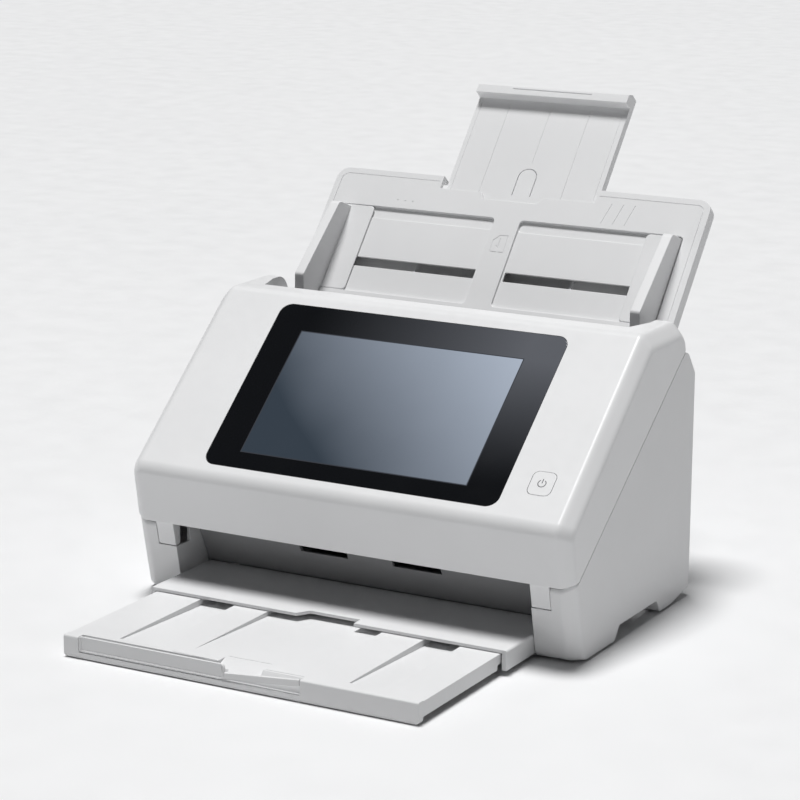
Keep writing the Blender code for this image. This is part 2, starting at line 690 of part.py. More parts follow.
def make_upper_guide():
    """Upper sheet of the paper path: roof of the exit bay, path and front of the inlet."""
    top, under = PATH_GAP + GUIDE_SHEET, PATH_GAP
    roof_z = COVER_BOTTOM[1]
    inlet = (depth(INLET_DEPTH + 1.2 * MM), TOP_Z - 4 * MM)
    outline = [(depth(9.6 * MM), roof_z)]
    outline += path_strip(((5 * MM, under), (138 * MM, under)))
    outline += [(inlet[0] + 2 * MM, inlet[1]), inlet]
    outline += path_strip(((134 * MM, top), (6.5 * MM, top)))
    outline += [(depth(36 * MM), roof_z + 2 * MM), (depth(9.6 * MM), roof_z + 2 * MM)]
    guide = prism_x("upper_paper_guide", outline, -PATH_HALF, PATH_HALF, "grey")
    tall = (-5 * MM, 12 * MM)
    cut(guide, path_box("window", (-54 * MM, 54 * MM), (14 * MM, 26 * MM), tall, "dark"))
    cut(guide, path_box("window", (-72 * MM, 72 * MM), (93 * MM, 107 * MM), tall, "dark"))
    cut(guide, path_box("window", (-28 * MM, 28 * MM), (123.5 * MM, 141.5 * MM),
                        (-5 * MM, 16 * MM), "dark"))
    cut(guide, path_box("window", (-112 * MM, 112 * MM), (66 * MM, 82 * MM), tall, "dark"))
    return guide


def make_sensors():
    near, far = PATH_GAP + GAP, PATH_GAP + GUIDE_SHEET
    for name, s, sign in (("lower", 44 * MM, -1), ("upper", 66 * MM, 1)):
        path_box(name + "_sensor_glass", (-111 * MM, 111 * MM), (s + MM, s + 15 * MM),
                 sorted((sign * near, sign * far)), "glass")
        body = path_box(name + "_image_sensor", (-118 * MM, 118 * MM), (s, s + 16 * MM),
                        sorted((sign * (far + GAP), sign * (far + 13 * MM))), "dark")
        cut(body, path_box("groove", (-112 * MM, 112 * MM), (s + 5 * MM, s + 11 * MM),
                           sorted((sign * (far - MM), sign * (far + 5 * MM))), "dark"))


# ---------------------------------------------------------------- rollers and drive

def axis_of(roller):
    s, radius = ROLLER_AXES[roller]
    return path_centre(s, -radius - NIP)


def idler_centre():
    """Axis of the idler gear, in mesh with the conveyor and feed gears."""
    first = Vector(axis_of("conveyor"))
    second = Vector(axis_of("feed"))
    across = second - first
    side_length = MODULE * (FEED_TEETH + IDLER_TEETH) / 2
    drop = math.sqrt(max(0.0, side_length ** 2 - (across.length / 2) ** 2))
    normal = Vector((0, across.z, -across.y)).normalized()
    return tuple((first + second) / 2 + normal * drop)


def motor_centre():
    """Axis of the motor, straight under the conveyor shaft."""
    x, y, z = axis_of("conveyor")
    return (x, y, z - MODULE * (CONVEYOR_TEETH + MOTOR_TEETH) / 2)


def direction(start, end):
    """Angle from +Y of the line between two axes."""
    return math.atan2(end[2] - start[2], end[1] - start[1])


def follow_phase(driver_teeth, driver_phase, teeth, line):
    """Phase of a gear in mesh with a driver, where line is the angle from driver to gear."""
    into_pitch = (line - driver_phase) * driver_teeth / math.tau
    fraction = into_pitch - math.floor(into_pitch)
    return line + math.pi + (fraction - 0.5) * math.tau / teeth


def make_rollers():
    """Driven rollers under the paper path, each a shaft with a rubber tyre."""
    reach = FRAME_X[1] + 2 * MM
    shafts = {"exit": BELT_X[0] - MM, "conveyor": BELT_X[0] - MM, "feed": FEED_GEAR_X[0] - MM}
    tyres = {"exit": 52 * MM, "conveyor": 70 * MM, "feed": 26 * MM}
    for name, (_, radius) in ROLLER_AXES.items():
        centre = axis_of(name)
        steps = ((shafts[name], SHAFT_R), (reach, SHAFT_R))
        turned_x(name + "_shaft", steps, "steel", centre)
        half = tyres[name]
        tube_x(name + "_tyre", radius, SHAFT_R + 0.1 * MM, -half, half, "rubber", centre, 32)
    for name in ("exit", "conveyor"):
        tube_x(name + "_pulley", PULLEY_R, SHAFT_R + 0.1 * MM, BELT_X[0], BELT_X[1],
               "nylon", axis_of(name))


def make_gears():
    conveyor, feed, idler, motor = (axis_of("conveyor"), axis_of("feed"), idler_centre(),
                                    motor_centre())
    bore = SHAFT_R + 0.1 * MM
    down = direction(conveyor, motor)
    gear_x("conveyor_gear", CONVEYOR_TEETH, bore, GEAR_X[0], GEAR_X[1], conveyor, down)
    pinion = gear_outline(MOTOR_TEETH, follow_phase(CONVEYOR_TEETH, down, MOTOR_TEETH, down))
    pinion = prism_x("motor_pinion", pinion, GEAR_X[0], GEAR_X[1], "steel", None, motor)
    steps = ((GEAR_X[0] - 0.5 * MM, MOTOR_SHAFT), (-FRAME_X[0] + 24 * MM, MOTOR_SHAFT))
    join(pinion, turned_x("shaft", steps, "steel", motor))
    to_idler = direction(conveyor, idler)
    gear_x("transfer_gear", FEED_TEETH, bore, FEED_GEAR_X[0], FEED_GEAR_X[1], conveyor, to_idler)
    idler_phase = follow_phase(FEED_TEETH, to_idler, IDLER_TEETH, to_idler)
    stub = gear_x("idler_gear", IDLER_TEETH, MM, FEED_GEAR_X[0], FEED_GEAR_X[1], idler,
                  idler_phase)
    steps = ((FEED_GEAR_X[0] - MM, SHAFT_R), (-FRAME_X[0] + MM, SHAFT_R))
    join(stub, turned_x("stub", steps, "nylon", idler))
    to_feed = direction(idler, feed)
    gear_x("feed_gear", FEED_TEETH, bore, FEED_GEAR_X[0], FEED_GEAR_X[1], feed,
           follow_phase(IDLER_TEETH, idler_phase, FEED_TEETH, to_feed))


def make_motor():
    centre = motor_centre()
    inner = -FRAME_X[0] + GAP
    steps = ((inner, MOTOR_R), (inner + 30 * MM, MOTOR_R))
    motor = turned_x("feed_motor", steps, "steel", centre, 28)
    drill_x(motor, MOTOR_SHAFT + RUN, centre, (inner - MM, inner + 26 * MM))


def make_belt():
    """Flat loop between the conveyor and exit pulleys."""
    first, second = Vector(axis_of("exit")), Vector(axis_of("conveyor"))
    turn = direction(first, second)

    def stadium(radius):
        outline = []
        for centre, start in ((second, turn - math.pi / 2), (first, turn + math.pi / 2)):
            for k in range(13):
                angle = start + math.pi * k / 12
                outline.append((centre.y + radius * math.cos(angle),
                                centre.z + radius * math.sin(angle)))
        return outline

    inner = PULLEY_R + 0.2 * MM
    belt = prism_x("drive_belt", stadium(inner + BELT_THICK), BELT_X[0] + GAP, BELT_X[1] - GAP,
                   "rubber")
    return cut(belt, prism_x("inside", stadium(inner), BELT_X[0] - MM, BELT_X[1] + MM))


def make_pinch_rollers():
    """Free rollers of the cover, above the driven ones."""
    exit_s, conveyor_s = ROLLER_AXES["exit"][0], ROLLER_AXES["conveyor"][0]
    feed_s, feed_r = ROLLER_AXES["feed"]
    for name, s, radius, half in (("exit_pinch_roller", exit_s, PINCH_R, 50 * MM),
                                  ("conveyor_pinch_roller", conveyor_s, IDLER_R, 68 * MM)):
        end = half + 8 * MM
        neck = 2 * MM
        steps = ((-end, neck), (-half, neck), (-half + 0.2 * MM, radius),
                 (half - 0.2 * MM, radius), (half, neck), (end, neck))
        turned_x(name, steps, "nylon", path_centre(s, radius + NIP))
    centre = path_centre(feed_s - 1.5 * MM, feed_r - MM + NIP)
    turned_x("separation_shaft", ((-34 * MM, SHAFT_R - MM), (34 * MM, SHAFT_R - MM)), "steel",
             centre)
    tube_x("separation_tyre", feed_r - MM, SHAFT_R - 0.9 * MM, -24 * MM, 24 * MM, "rubber",
           centre, 32)


# ---------------------------------------------------------------- cover and display

def cover_corners(share=0.0):
    """Cover profile from its lower front edge upwards and back; share as in seam_ends."""
    top = depth(SLANT_LENGTH * math.cos(SLANT_ANGLE))
    foot, start = seam_ends((COVER_BOTTOM, (0, FOLD_Z)), 0, share)
    return [
        (*foot, 0),
        (depth(0), FOLD_Z, 10 * MM),
        (top, TOP_Z, 10 * MM),
        (depth(COVER_REAR), TOP_Z, (13 - 4 * share) * MM),
        (depth(COVER_REAR), seam_height(COVER_REAR), 0),
        (*start, 0),
    ]


def make_cover():
    """Moulded front cover: a shell open along the seam, cut away behind for the paper inlet."""
    corners = cover_corners()
    cuts = [FRONT_IN, EDGE_IN, TOP_IN, REAR_IN, 0, 0]
    full = round_corners(corners)
    side = round_corners(inset_corners(cover_corners(1.0), cuts))
    edge = BODY_HALF - EDGE_X
    loops = [[(x, y, z) for y, z in outline] for x, outline in
             ((-BODY_HALF, side), (-edge, full), (edge, full), (BODY_HALF, side))]
    cover = new_object("front_cover", lambda bm: loft(bm, loops), "white")
    inner_corners = inset_corners(corners, [SHELL, SHELL, SHELL, SHELL, -4 * MM, -4 * MM])
    inner_corners = [(y, z, max(0, radius - SHELL)) for y, z, radius in inner_corners]
    inside = round_corners(inner_corners)
    wall = EDGE_X - 1.5 * MM + SHELL
    inlet = depth(INLET_DEPTH)
    half_outline = [(INLET_HALF, inlet), (SHOULDER_HALF, depth(SHOULDER_DEPTH)),
                    (SHOULDER_HALF, depth(190 * MM))]
    outline = half_outline + [(-x, y) for x, y in reversed(half_outline)]
    cut(cover, prism_z("inlet", outline, 40 * MM, 200 * MM))
    hollow_half = SHOULDER_HALF + SHELL
    for low, high in ((-BODY_HALF + wall, -hollow_half), (hollow_half, BODY_HALF - wall)):
        cut(cover, prism_x("hollow", inside, low, high))
    front_part = prism_x("hollow", inside, -hollow_half - MM, hollow_half + MM)
    keep = rectangle((inlet - SHELL, depth(190 * MM)), (40 * MM, 200 * MM))
    cut(front_part, prism_x("keep", keep, -BODY_HALF, BODY_HALF))
    cut(cover, front_part)
    return cover


def make_display(slant, cover):
    """Touch glass in a rebate, screen panel and its board, and the button's hole."""
    bottom, top = GLASS_S
    rebate = rounded_rectangle((-GLASS_HALF - GAP, GLASS_HALF + GAP), (bottom - GAP, top + GAP),
                               GLASS_RADIUS + GAP)
    cut(cover, prism_z("rebate", rebate, -GLASS_THICK - GAP, 5 * MM, "dark", slant))
    window = rectangle((-96 * MM, 96 * MM), (17 * MM, 136 * MM))
    cut(cover, prism_z("window", window, -8 * MM, 5 * MM, "dark", slant))
    glass = rounded_rectangle((-GLASS_HALF, GLASS_HALF), (bottom, top), GLASS_RADIUS)
    made = [prism_z("touch_glass", glass, -GLASS_THICK, 0, "glass", slant)]
    panel = rectangle((-88 * MM, 88 * MM), (19 * MM, 126 * MM))
    made.append(prism_z("lcd_panel", panel, -6 * MM, -GLASS_THICK - GAP, "screen", slant))
    board = rectangle((-70 * MM, 70 * MM), (30 * MM, 110 * MM))
    made.append(prism_z("display_board", board, -9.6 * MM, -8 * MM, "board", slant))
    x, s = BUTTON_AT
    half_x, half_s = BUTTON_SIZE[0] / 2, BUTTON_SIZE[1] / 2
    clear = 0.25 * MM
    hole = rounded_rectangle((x - half_x - clear, x + half_x + clear),
                             (s - half_s - clear, s + half_s + clear), 4.2 * MM)
    cut(cover, prism_z("button_hole", hole, -6 * MM, 5 * MM, "dark", slant))
    return made


def make_button(slant):
    """Button cap with a stem; its origin lies on its line of travel."""
    half_x, half_s = BUTTON_SIZE[0] / 2, BUTTON_SIZE[1] / 2
    cap = rounded_rectangle((-half_x, half_x), (-half_s, half_s), 4 * MM)
    place = (BUTTON_AT[0], BUTTON_AT[1], 0)
    button = prism_z("power_button", cap, -2.2 * MM, 0.15 * MM, "white", slant, place)
    stem = prism_z("stem", circle(3 * MM, 16), -6.5 * MM + BUTTON_TRAVEL,
                   -2 * MM, "white", slant, place)
    return join(button, stem)


def make_hinge_arms():
    """Arms that hang from the cover into the pillars, and the pins they turn on."""
    top = COVER_BOTTOM[1] - GAP
    corners = [
        (9.8 * MM, top + 3 * MM, 0), (9.8 * MM, top, 0), (8.35 * MM, top, 0),
        (11.85 * MM, 35.3 * MM, 0.8 * MM), (17 * MM, 35.3 * MM, 1.5 * MM),
        (17 * MM, top + 3 * MM, 0),
    ]
    outline = round_corners([(depth(d), z, radius) for d, z, radius in corners])
    made = []
    for side, name in ((-1, "left"), (1, "right")):
        arm_x = sorted((side * ARM_X[0], side * ARM_X[1]))
        arm = prism_x(name + "_hinge_arm", outline, arm_x[0], arm_x[1], "white")
        axis = (0, depth(HINGE[0]), HINGE[1])
        drill_x(arm, HINGE_PIN + RUN, axis, (arm_x[0] - MM, arm_x[1] + MM))
        made.append(arm)
        steps = ((side * (ARM_X[0] + MM), HINGE_PIN), (side * (ARM_X[1] + 5 * MM), HINGE_PIN))
        turned_x(name + "_hinge_pin", steps, "steel", axis)
    return made


# ---------------------------------------------------------------- chute

def make_chute(plane):
    """Front panel of the chute with a rim, recesses, slots and foot tabs."""
    outline = round_corners([
        (-CHUTE_HALF, CHUTE_FOOT, 0), (CHUTE_HALF, CHUTE_FOOT, 0),
        (CHUTE_HALF, CHUTE_HEAD, 9 * MM), (-CHUTE_HALF, CHUTE_HEAD, 9 * MM),
    ])
    chute = prism_z("paper_chute", outline, -CHUTE_THICK, 0, "white", plane)
    rim = 2.6 * MM
    hollow = round_corners([
        (-CHUTE_HALF + rim, CHUTE_FOOT - MM, 0), (CHUTE_HALF - rim, CHUTE_FOOT - MM, 0),
        (CHUTE_HALF - rim, CHUTE_HEAD - rim, 7 * MM), (-CHUTE_HALF + rim, CHUTE_HEAD - rim, 7 * MM),
    ])
    cut(chute, prism_z("hollow", hollow, -CHUTE_THICK - MM, -PANEL, "dark", plane))
    notch = rectangle((-EXT_HALF - MM, EXT_HALF + MM), (NOTCH_T, CHUTE_HEAD + MM))
    cut(chute, prism_z("notch", notch, -CHUTE_THICK - MM, MM, "dark", plane))
    outer_x = GUIDE_WALL[1] + 0.6 * MM
    for side in (-1, 1):
        near, far = sorted((side * SPINE_HALF, side * outer_x))
        cut(chute, prism_z("recess", rectangle((near, far), RECESS_T), -RECESS, MM, "dark", plane))
        near, far = sorted((side * (SPINE_HALF + 1.5 * MM), side * 119 * MM))
        cut(chute, prism_z("slot", rectangle((near, far), SLOT_T), -PANEL - MM, MM, "dark", plane))
        x = side * TAB_X
        tab = rectangle((x - TAB_HALF, x + TAB_HALF), (CHUTE_FOOT - 26 * MM, CHUTE_FOOT + 4 * MM))
        join(chute, prism_z("tab", tab, -6.5 * MM, -PANEL + 0.5 * MM, "white", plane))
    stud = prism_z("stud", circle(2 * MM), RACK_N[0], -PANEL + 0.5 * MM, "white", plane,
                   (0, RACK_PITCH_T, 0))
    return join(chute, stud)


def make_chute_back(plane):
    """Back panel of the chute, with the channel in which the extension slides."""
    wall = 2 * MM
    half = EXT_HALF + GAP + wall
    floor = EXT_BACK - GAP
    channel = prism_z("chute_back_cover",
                      rectangle((-half, half), (CHUTE_FOOT + 2 * MM, NOTCH_T - 4 * MM)),
                      floor - wall, -PANEL - GAP, "white", plane)
    panel = rectangle((-CHUTE_HALF + 3 * MM, CHUTE_HALF - 3 * MM), (-14 * MM, NOTCH_T - 4 * MM))
    join(channel, prism_z("panel", panel, -CHUTE_THICK + 0.2 * MM, -CHUTE_THICK + 1.6 * MM,
                          "white", plane))
    inner = EXT_HALF + GAP
    cut(channel, prism_z("channel", rectangle((-inner, inner), (-200 * MM, 200 * MM)),
                         floor, MM, "dark", plane))
    rack_way = rectangle((-half - MM, half + MM), (RACK_PITCH_T - 17 * MM, RACK_PITCH_T + 17 * MM))
    return cut(channel, prism_z("rack_way", rack_way, RACK_N[0] - GAP, MM, "dark", plane))


def make_extension(plane):
    """Sliding extension with side flanges, a lip across its head and a latch tongue."""
    sheet = 2.4 * MM
    middle = rectangle((-EXT_HALF, EXT_HALF), (EXT_FOOT, EXT_HEAD))
    extension = prism_z("chute_extension", middle, EXT_BACK, EXT_FRONT, "white", plane)
    inner = EXT_HALF - 2.6 * MM
    cut(extension, prism_z("hollow", rectangle((-inner, inner), (EXT_FOOT - MM, EXT_HEAD - 5 * MM)),
                           EXT_BACK - MM, EXT_FRONT - sheet, "dark", plane))
    lip = [(EXT_HEAD - 8 * MM, EXT_FRONT - MM), (EXT_HEAD - 8 * MM, 1.5 * MM),
           (EXT_HEAD - 1.5 * MM, 1.5 * MM), (EXT_HEAD + 2 * MM, EXT_FRONT + 2 * MM),
           (EXT_HEAD + 2 * MM, EXT_BACK), (EXT_HEAD - MM, EXT_BACK)]
    join(extension, prism_x("lip", lip, -EXT_HALF, EXT_HALF, "white", plane))
    slit = []
    for radius, order in ((7.2 * MM, 1), (6.5 * MM, -1)):
        arch = [(radius, TONGUE_T[0])]
        arch += [(radius * math.cos(math.pi * k / 10),
                  TONGUE_T[1] + radius * math.sin(math.pi * k / 10)) for k in range(11)]
        arch.append((-radius, TONGUE_T[0]))
        slit += arch[::order]
    return cut(extension, prism_z("slit", slit, EXT_BACK - MM, MM, "dark", plane))


def rack_outline(side):
    """Rack of one guide in the chute plane; the left one passes above the pinion."""
    pitch = math.pi * MODULE
    line = RACK_PITCH_T - side * MODULE * (GUIDE_PINION_TEETH / 2 + 0.02)
    away = -side
    half = pitch / 4 - 0.12 * MODULE
    lean = math.tan(math.radians(20))
    outline = []
    for k in range(RACK_TEETH):
        centre = side * pitch * (RACK_TEETH - 3.5 - k)
        foot, tip = half + 1.2 * MODULE * lean, half - 0.9 * MODULE * lean
        tooth = [(-foot, 1.2 * MODULE), (-tip, -0.9 * MODULE), (tip, -0.9 * MODULE),
                 (foot, 1.2 * MODULE)]
        outline += [(centre - side * a, line + away * b) for a, b in tooth]
    back = line + away * 4.2 * MODULE
    near_end = outline[-1][0] - side * 1.5 * MM
    far_end = side * 118 * MM
    block = side * 107 * MM
    root = line + away * 1.2 * MODULE
    low = RACK_PITCH_T + side * 3.2 * MM
    return [(far_end, back), (far_end, low), (block, low), (block, root)] + outline + [
        (near_end, root), (near_end, back)]


def make_guides(plane):
    """Side guides with their racks, and the pinion that keeps them centred."""
    seat = -RECESS + 0.2 * MM
    wall = [(RECESS_T[0] + 0.4 * MM, seat), (62 * MM, seat), (62 * MM, 0.5 * MM),
            (56.6 * MM, 15.4 * MM), (-8.4 * MM, 25.5 * MM), (-20.6 * MM, 15.2 * MM),
            (-8 * MM, 1 * MM), (RECESS_T[0] + 0.4 * MM, 0.4 * MM)]
    for side, name in ((-1, "left"), (1, "right")):
        guide = prism_x(name + "_guide", wall, side * GUIDE_WALL[0], side * GUIDE_WALL[1],
                        "white", plane)
        plate_x = sorted((side * GUIDE_PLATE_X, side * (GUIDE_WALL[1] - MM)))
        plate = rectangle(plate_x, (RECESS_T[0] + 0.4 * MM, RECESS_T[1] - 0.4 * MM))
        join(guide, prism_z("plate", plate, seat, -0.2 * MM, "white", plane))
        neck = rectangle(sorted((side * 108 * MM, side * 117 * MM)),
                         (SLOT_T[0] + 0.3 * MM, SLOT_T[1] - 0.3 * MM))
        join(guide, prism_z("neck", neck, RACK_N[0] + 0.3 * MM, seat + 0.2 * MM, "white", plane))
        join(guide, prism_z("rack", rack_outline(side), RACK_N[0], RACK_N[1] - 0.1 * MM, "white",
                            plane))
    pinion = prism_z("guide_pinion", gear_outline(GUIDE_PINION_TEETH, math.pi / 2), RACK_N[0],
                     RACK_N[1], "nylon", plane, (0, RACK_PITCH_T, 0))
    bore = prism_z("bore", circle(2 * MM + RUN), -9 * MM, MM, "dark", plane, (0, RACK_PITCH_T, 0))
    return cut(pinion, bore)


# ---------------------------------------------------------------- assembly

def finish_shading():
    for obj in bpy.data.objects:
        if obj.type == "MESH":
            obj.data.shade_smooth()
            obj.data.set_sharp_from_angle(angle=math.radians(32))


def build():
    clear_scene()
    make_side_cover("left_side_cover", -1)
    make_side_cover("right_side_cover", 1)
    make_base_pan()
    make_rear_cover()
    make_ports()
    make_feet()
    make_frames()
    make_shelf()
    make_exit_guide()
    make_tray()
    make_stopper()
    make_lower_guide()
    make_sensors()
    make_rollers()
    make_gears()
    make_motor()
    make_belt()
    make_pinch_rollers()

    hinge = empty("cover_hinge", (0, depth(HINGE[0]), HINGE[1]))
    slant = empty("display_plane", (0, depth(0), FOLD_Z), SLANT_ANGLE)
    cover = make_cover()
    make_display(slant, cover)
    make_button(slant)
    for piece in (cover, make_upper_guide(), slant, *make_hinge_arms()):
        adopt(piece, hinge)

    plane = empty("chute_plane", (0, depth(CHUTE_AT[0]), CHUTE_AT[1]), CHUTE_ANGLE)
    make_chute(plane)
    make_chute_back(plane)
    make_extension(plane)
    make_guides(plane)
    finish_shading()


build()
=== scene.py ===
"""Looks of a sheet fed document scanner with a touch screen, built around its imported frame.

Sizes are in metres in the frame's own axes: +X right, -Y towards the user, +Z up.
Depths are measured behind the front fold of the cover; depth() turns them into Y.
"""
import json
import math

import bmesh
import bpy
from mathutils import Matrix, Vector


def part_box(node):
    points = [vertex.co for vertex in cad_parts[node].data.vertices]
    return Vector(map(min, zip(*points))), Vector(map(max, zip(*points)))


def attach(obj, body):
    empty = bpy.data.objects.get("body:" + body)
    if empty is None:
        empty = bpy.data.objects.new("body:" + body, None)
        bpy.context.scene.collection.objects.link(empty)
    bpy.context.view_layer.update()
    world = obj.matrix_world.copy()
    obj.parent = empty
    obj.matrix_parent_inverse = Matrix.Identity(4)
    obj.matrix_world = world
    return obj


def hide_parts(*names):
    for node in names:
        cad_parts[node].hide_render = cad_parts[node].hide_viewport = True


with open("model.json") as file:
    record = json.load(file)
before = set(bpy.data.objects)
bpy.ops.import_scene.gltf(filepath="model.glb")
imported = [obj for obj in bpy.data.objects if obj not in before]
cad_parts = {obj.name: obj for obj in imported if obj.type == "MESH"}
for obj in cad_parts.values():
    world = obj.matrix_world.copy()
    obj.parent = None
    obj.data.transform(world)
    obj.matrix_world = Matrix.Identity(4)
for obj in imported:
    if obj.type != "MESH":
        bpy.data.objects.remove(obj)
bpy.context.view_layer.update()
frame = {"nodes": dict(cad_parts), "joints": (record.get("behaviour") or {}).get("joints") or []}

MM = 0.001
JOINTS = {joint["name"]: joint for joint in frame["joints"]}

# ---------------------------------------------------------------- places taken from the frame

HINGE = (12 * MM, JOINTS["cover_hinge"]["pos_m"][2])
FOLD_Y = JOINTS["cover_hinge"]["pos_m"][1] - HINGE[0]
BODY_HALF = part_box("front_cover")[1].x
TOP_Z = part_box("front_cover")[1].z
SLANT_AXIS = JOINTS["power_button_press"]["axis"]
SLANT_ANGLE = math.atan2(SLANT_AXIS[1], -SLANT_AXIS[2])
CHUTE_AXIS = Vector(JOINTS["chute_lift"]["axis"])
CHUTE_ANGLE = math.atan2(CHUTE_AXIS.z, CHUTE_AXIS.y)
PINION_T = 20.4 * MM                 # height of the guides' pinion in the chute's plane
CHUTE_ORIGIN = Vector(JOINTS["guide_pinion_spin"]["pos_m"]) - CHUTE_AXIS * PINION_T


def depth(value):
    return FOLD_Y + value


# ---------------------------------------------------------------- driving dimensions

GAP = 0.3 * MM
FINE = 10                            # segments of a large rounded corner
SLANT_LENGTH = 152 * MM
FOLD_Z = TOP_Z - SLANT_LENGTH * math.sin(SLANT_ANGLE)
COVER_BOTTOM = (6.6 * MM, 51.2 * MM)
COVER_REAR = 172 * MM
SEAM_LOW, SEAM_HIGH = (12.9 * MM, 51.2 * MM), (170.4 * MM, 167.8 * MM)
SEAM_SHIFT = 3.2 * MM
PILLAR_FOOT, PILLAR_HEAD = (19.3 * MM, 1.5 * MM), (8.2 * MM, 50.9 * MM)
REAR_DEPTH, REAR_TOP = 188.8 * MM, 151 * MM
BODY_BOTTOM = 1.5 * MM
ARCH_START, ARCH_END, ARCH_TOP = 70.2 * MM, 139 * MM, 10 * MM
SHELL = 2.4 * MM
EDGE_X, EDGE_IN = 7.6 * MM, 7 * MM
FRONT_IN, TOP_IN, REAR_IN = 6 * MM, 9 * MM, 3 * MM
INNER_HALF = BODY_HALF - 3 * MM
INLET_HALF, INLET_DEPTH = 134 * MM, 131.8 * MM
SHOULDER_HALF, SHOULDER_DEPTH = 140 * MM, 152 * MM
PILLAR_HALF, BAY_DEPTH = 128.3 * MM, 50 * MM
SHELF_HALF, SHELF_FRONT, SHELF_TOP, SHELF_WALL = 127.8 * MM, -19 * MM, 16.2 * MM, 3.4 * MM
TRAY_HALF, TRAY_FRONT, TRAY_TOP, TRAY_SKIRT = 123.4 * MM, -121 * MM, 13.6 * MM, 4 * MM
LIP_DEPTH, LIP_TOP, LIP_BOTTOM = 6 * MM, 14.2 * MM, 0.5 * MM
CHANNELS = ((-90 * MM, -65 * MM), (71 * MM, 96 * MM))
STOPPER_X = (-112 * MM, -8 * MM, 44 * MM)
STOPPER_AXIS = JOINTS["stopper_flip"]["pos_m"]
NOTCH_HALF = 15.5 * MM               # finger notch behind the stopper's bar
ARM_X = (128.6 * MM, 141.6 * MM)
GLASS_HALF, GLASS_S, GLASS_RADIUS = 105 * MM, (10 * MM, 143 * MM), 8 * MM
GLASS_THICK = 1.2 * MM
WINDOW_HALF, WINDOW_S = 96 * MM, (17 * MM, 136 * MM)     # opening behind the glass
SCREEN_X, SCREEN_S = (-81.7 * MM, 80 * MM), (23 * MM, 121.7 * MM)
BUTTON_AT, BUTTON_SIZE = (128 * MM, 32 * MM), (15.6 * MM, 17.4 * MM)
CHUTE_HALF = 141.5 * MM
CHUTE_FOOT, CHUTE_HEAD = -20 * MM, 93 * MM
CHUTE_THICK, PANEL, RECESS = 9 * MM, 3.2 * MM, 1.6 * MM
SPINE_HALF = 9.7 * MM
RECESS_T, SLOT_T = (-3.6 * MM, 64 * MM), (16.9 * MM, 23.9 * MM)
EXT_HALF = 57.6 * MM
EXT_FRONT, EXT_BACK = -6 * MM, -12 * MM
EXT_FOOT, EXT_HEAD = 66 * MM, 170 * MM
NOTCH_T = 83 * MM
GUIDE_WALL = (121.5 * MM, 128.5 * MM)
GUIDE_PLATE_X = 103 * MM
PINION_TEETH, RACK_TEETH = 16, 35
LEDGE_TOP = REAR_TOP - 2 * MM
TAB_X = 133 * MM                     # middle of the chute's two tabs
# Screen colours from its own dim tone to that tone under the strongest painted reflection; the
# border goes from printed black to a painted reflection at its top right.
SCREEN_UNREFLECTED, SCREEN_WITH_PAINTED_REFLECTION = (0.04, 0.055, 0.075), (0.46, 0.52, 0.62)
BORDER_DARK, BORDER_PAINTED_REFLECTION = (0.003, 0.0036, 0.005), (0.125, 0.132, 0.15)
KEY_STRENGTH, WORLD_STRENGTH = 3.1, 0.08
VIEW_AZIMUTH, VIEW_ELEVATION, VIEW_ROLL = (math.radians(a) for a in (28.902, 13.658, 0.373))
VIEW_TARGET = Vector((28.89 * MM, FOLD_Y + 25.98 * MM, 149.07 * MM))
VIEW_DISTANCE, FOCAL_LENGTH = 1.72705, 125.9             # metres, and millimetres of a lens

SLANT = Matrix.Translation((0, FOLD_Y, FOLD_Z)) @ Matrix.Rotation(SLANT_ANGLE, 4, "X")
CHUTE = Matrix.Translation(CHUTE_ORIGIN) @ Matrix.Rotation(CHUTE_ANGLE, 4, "X")


# ---------------------------------------------------------------- mesh helpers

def rectangle(x, y):
    return [(x[0], y[0]), (x[1], y[0]), (x[1], y[1]), (x[0], y[1])]


def round_corners(corners, segments=FINE):
    """Outline from (a, b, radius) corners; a radius of zero keeps the corner sharp."""
    outline = []
    count = len(corners)
    for i, (a, b, radius) in enumerate(corners):
        if radius <= 0:
            outline.append((a, b))
            continue
        here = Vector((a, b))
        to_before = (Vector(corners[i - 1][:2]) - here).normalized()
        to_after = (Vector(corners[(i + 1) % count][:2]) - here).normalized()
        half = math.acos(max(-1.0, min(1.0, to_before.dot(to_after)))) / 2
        reach = radius / math.tan(half)
        centre = here + (to_before + to_after).normalized() * radius / math.sin(half)
        start = here + to_before * reach - centre
        end = here + to_after * reach - centre
        sweep = start.angle_signed(end)
        for k in range(segments + 1):
            outline.append(tuple(centre + Matrix.Rotation(-sweep * k / segments, 2) @ start))
    return outline


def inset_corners(corners, distances):
    """Move edge i of a polygon inwards by distances[i]."""
    count = len(corners)
    points = [Vector(corner[:2]) for corner in corners]
    area = sum(points[i - 1].x * points[i].y - points[i].x * points[i - 1].y
               for i in range(count))
    side = 1 if area > 0 else -1
    lines = []
    for i in range(count):
        along = (points[(i + 1) % count] - points[i]).normalized()
        normal = Vector((-along.y, along.x)) * side
        lines.append((points[i] + normal * distances[i], along))
    moved = []
    for i in range(count):
        base, along = lines[i]
        other, other_along = lines[i - 1]
        cross = other_along.x * along.y - other_along.y * along.x
        offset = base - other
        reach = (offset.x * along.y - offset.y * along.x) / cross
        point = other + other_along * reach
        moved.append((point.x, point.y, corners[i][2]))
    return moved


def circle(radius, count=32, centre=(0, 0)):
    return [(centre[0] + radius * math.cos(math.tau * i / count),
             centre[1] + radius * math.sin(math.tau * i / count)) for i in range(count)]


def rounded_rectangle(x, y, radius, segments=6):
    return round_corners([(a, b, radius) for a, b in rectangle(x, y)], segments)


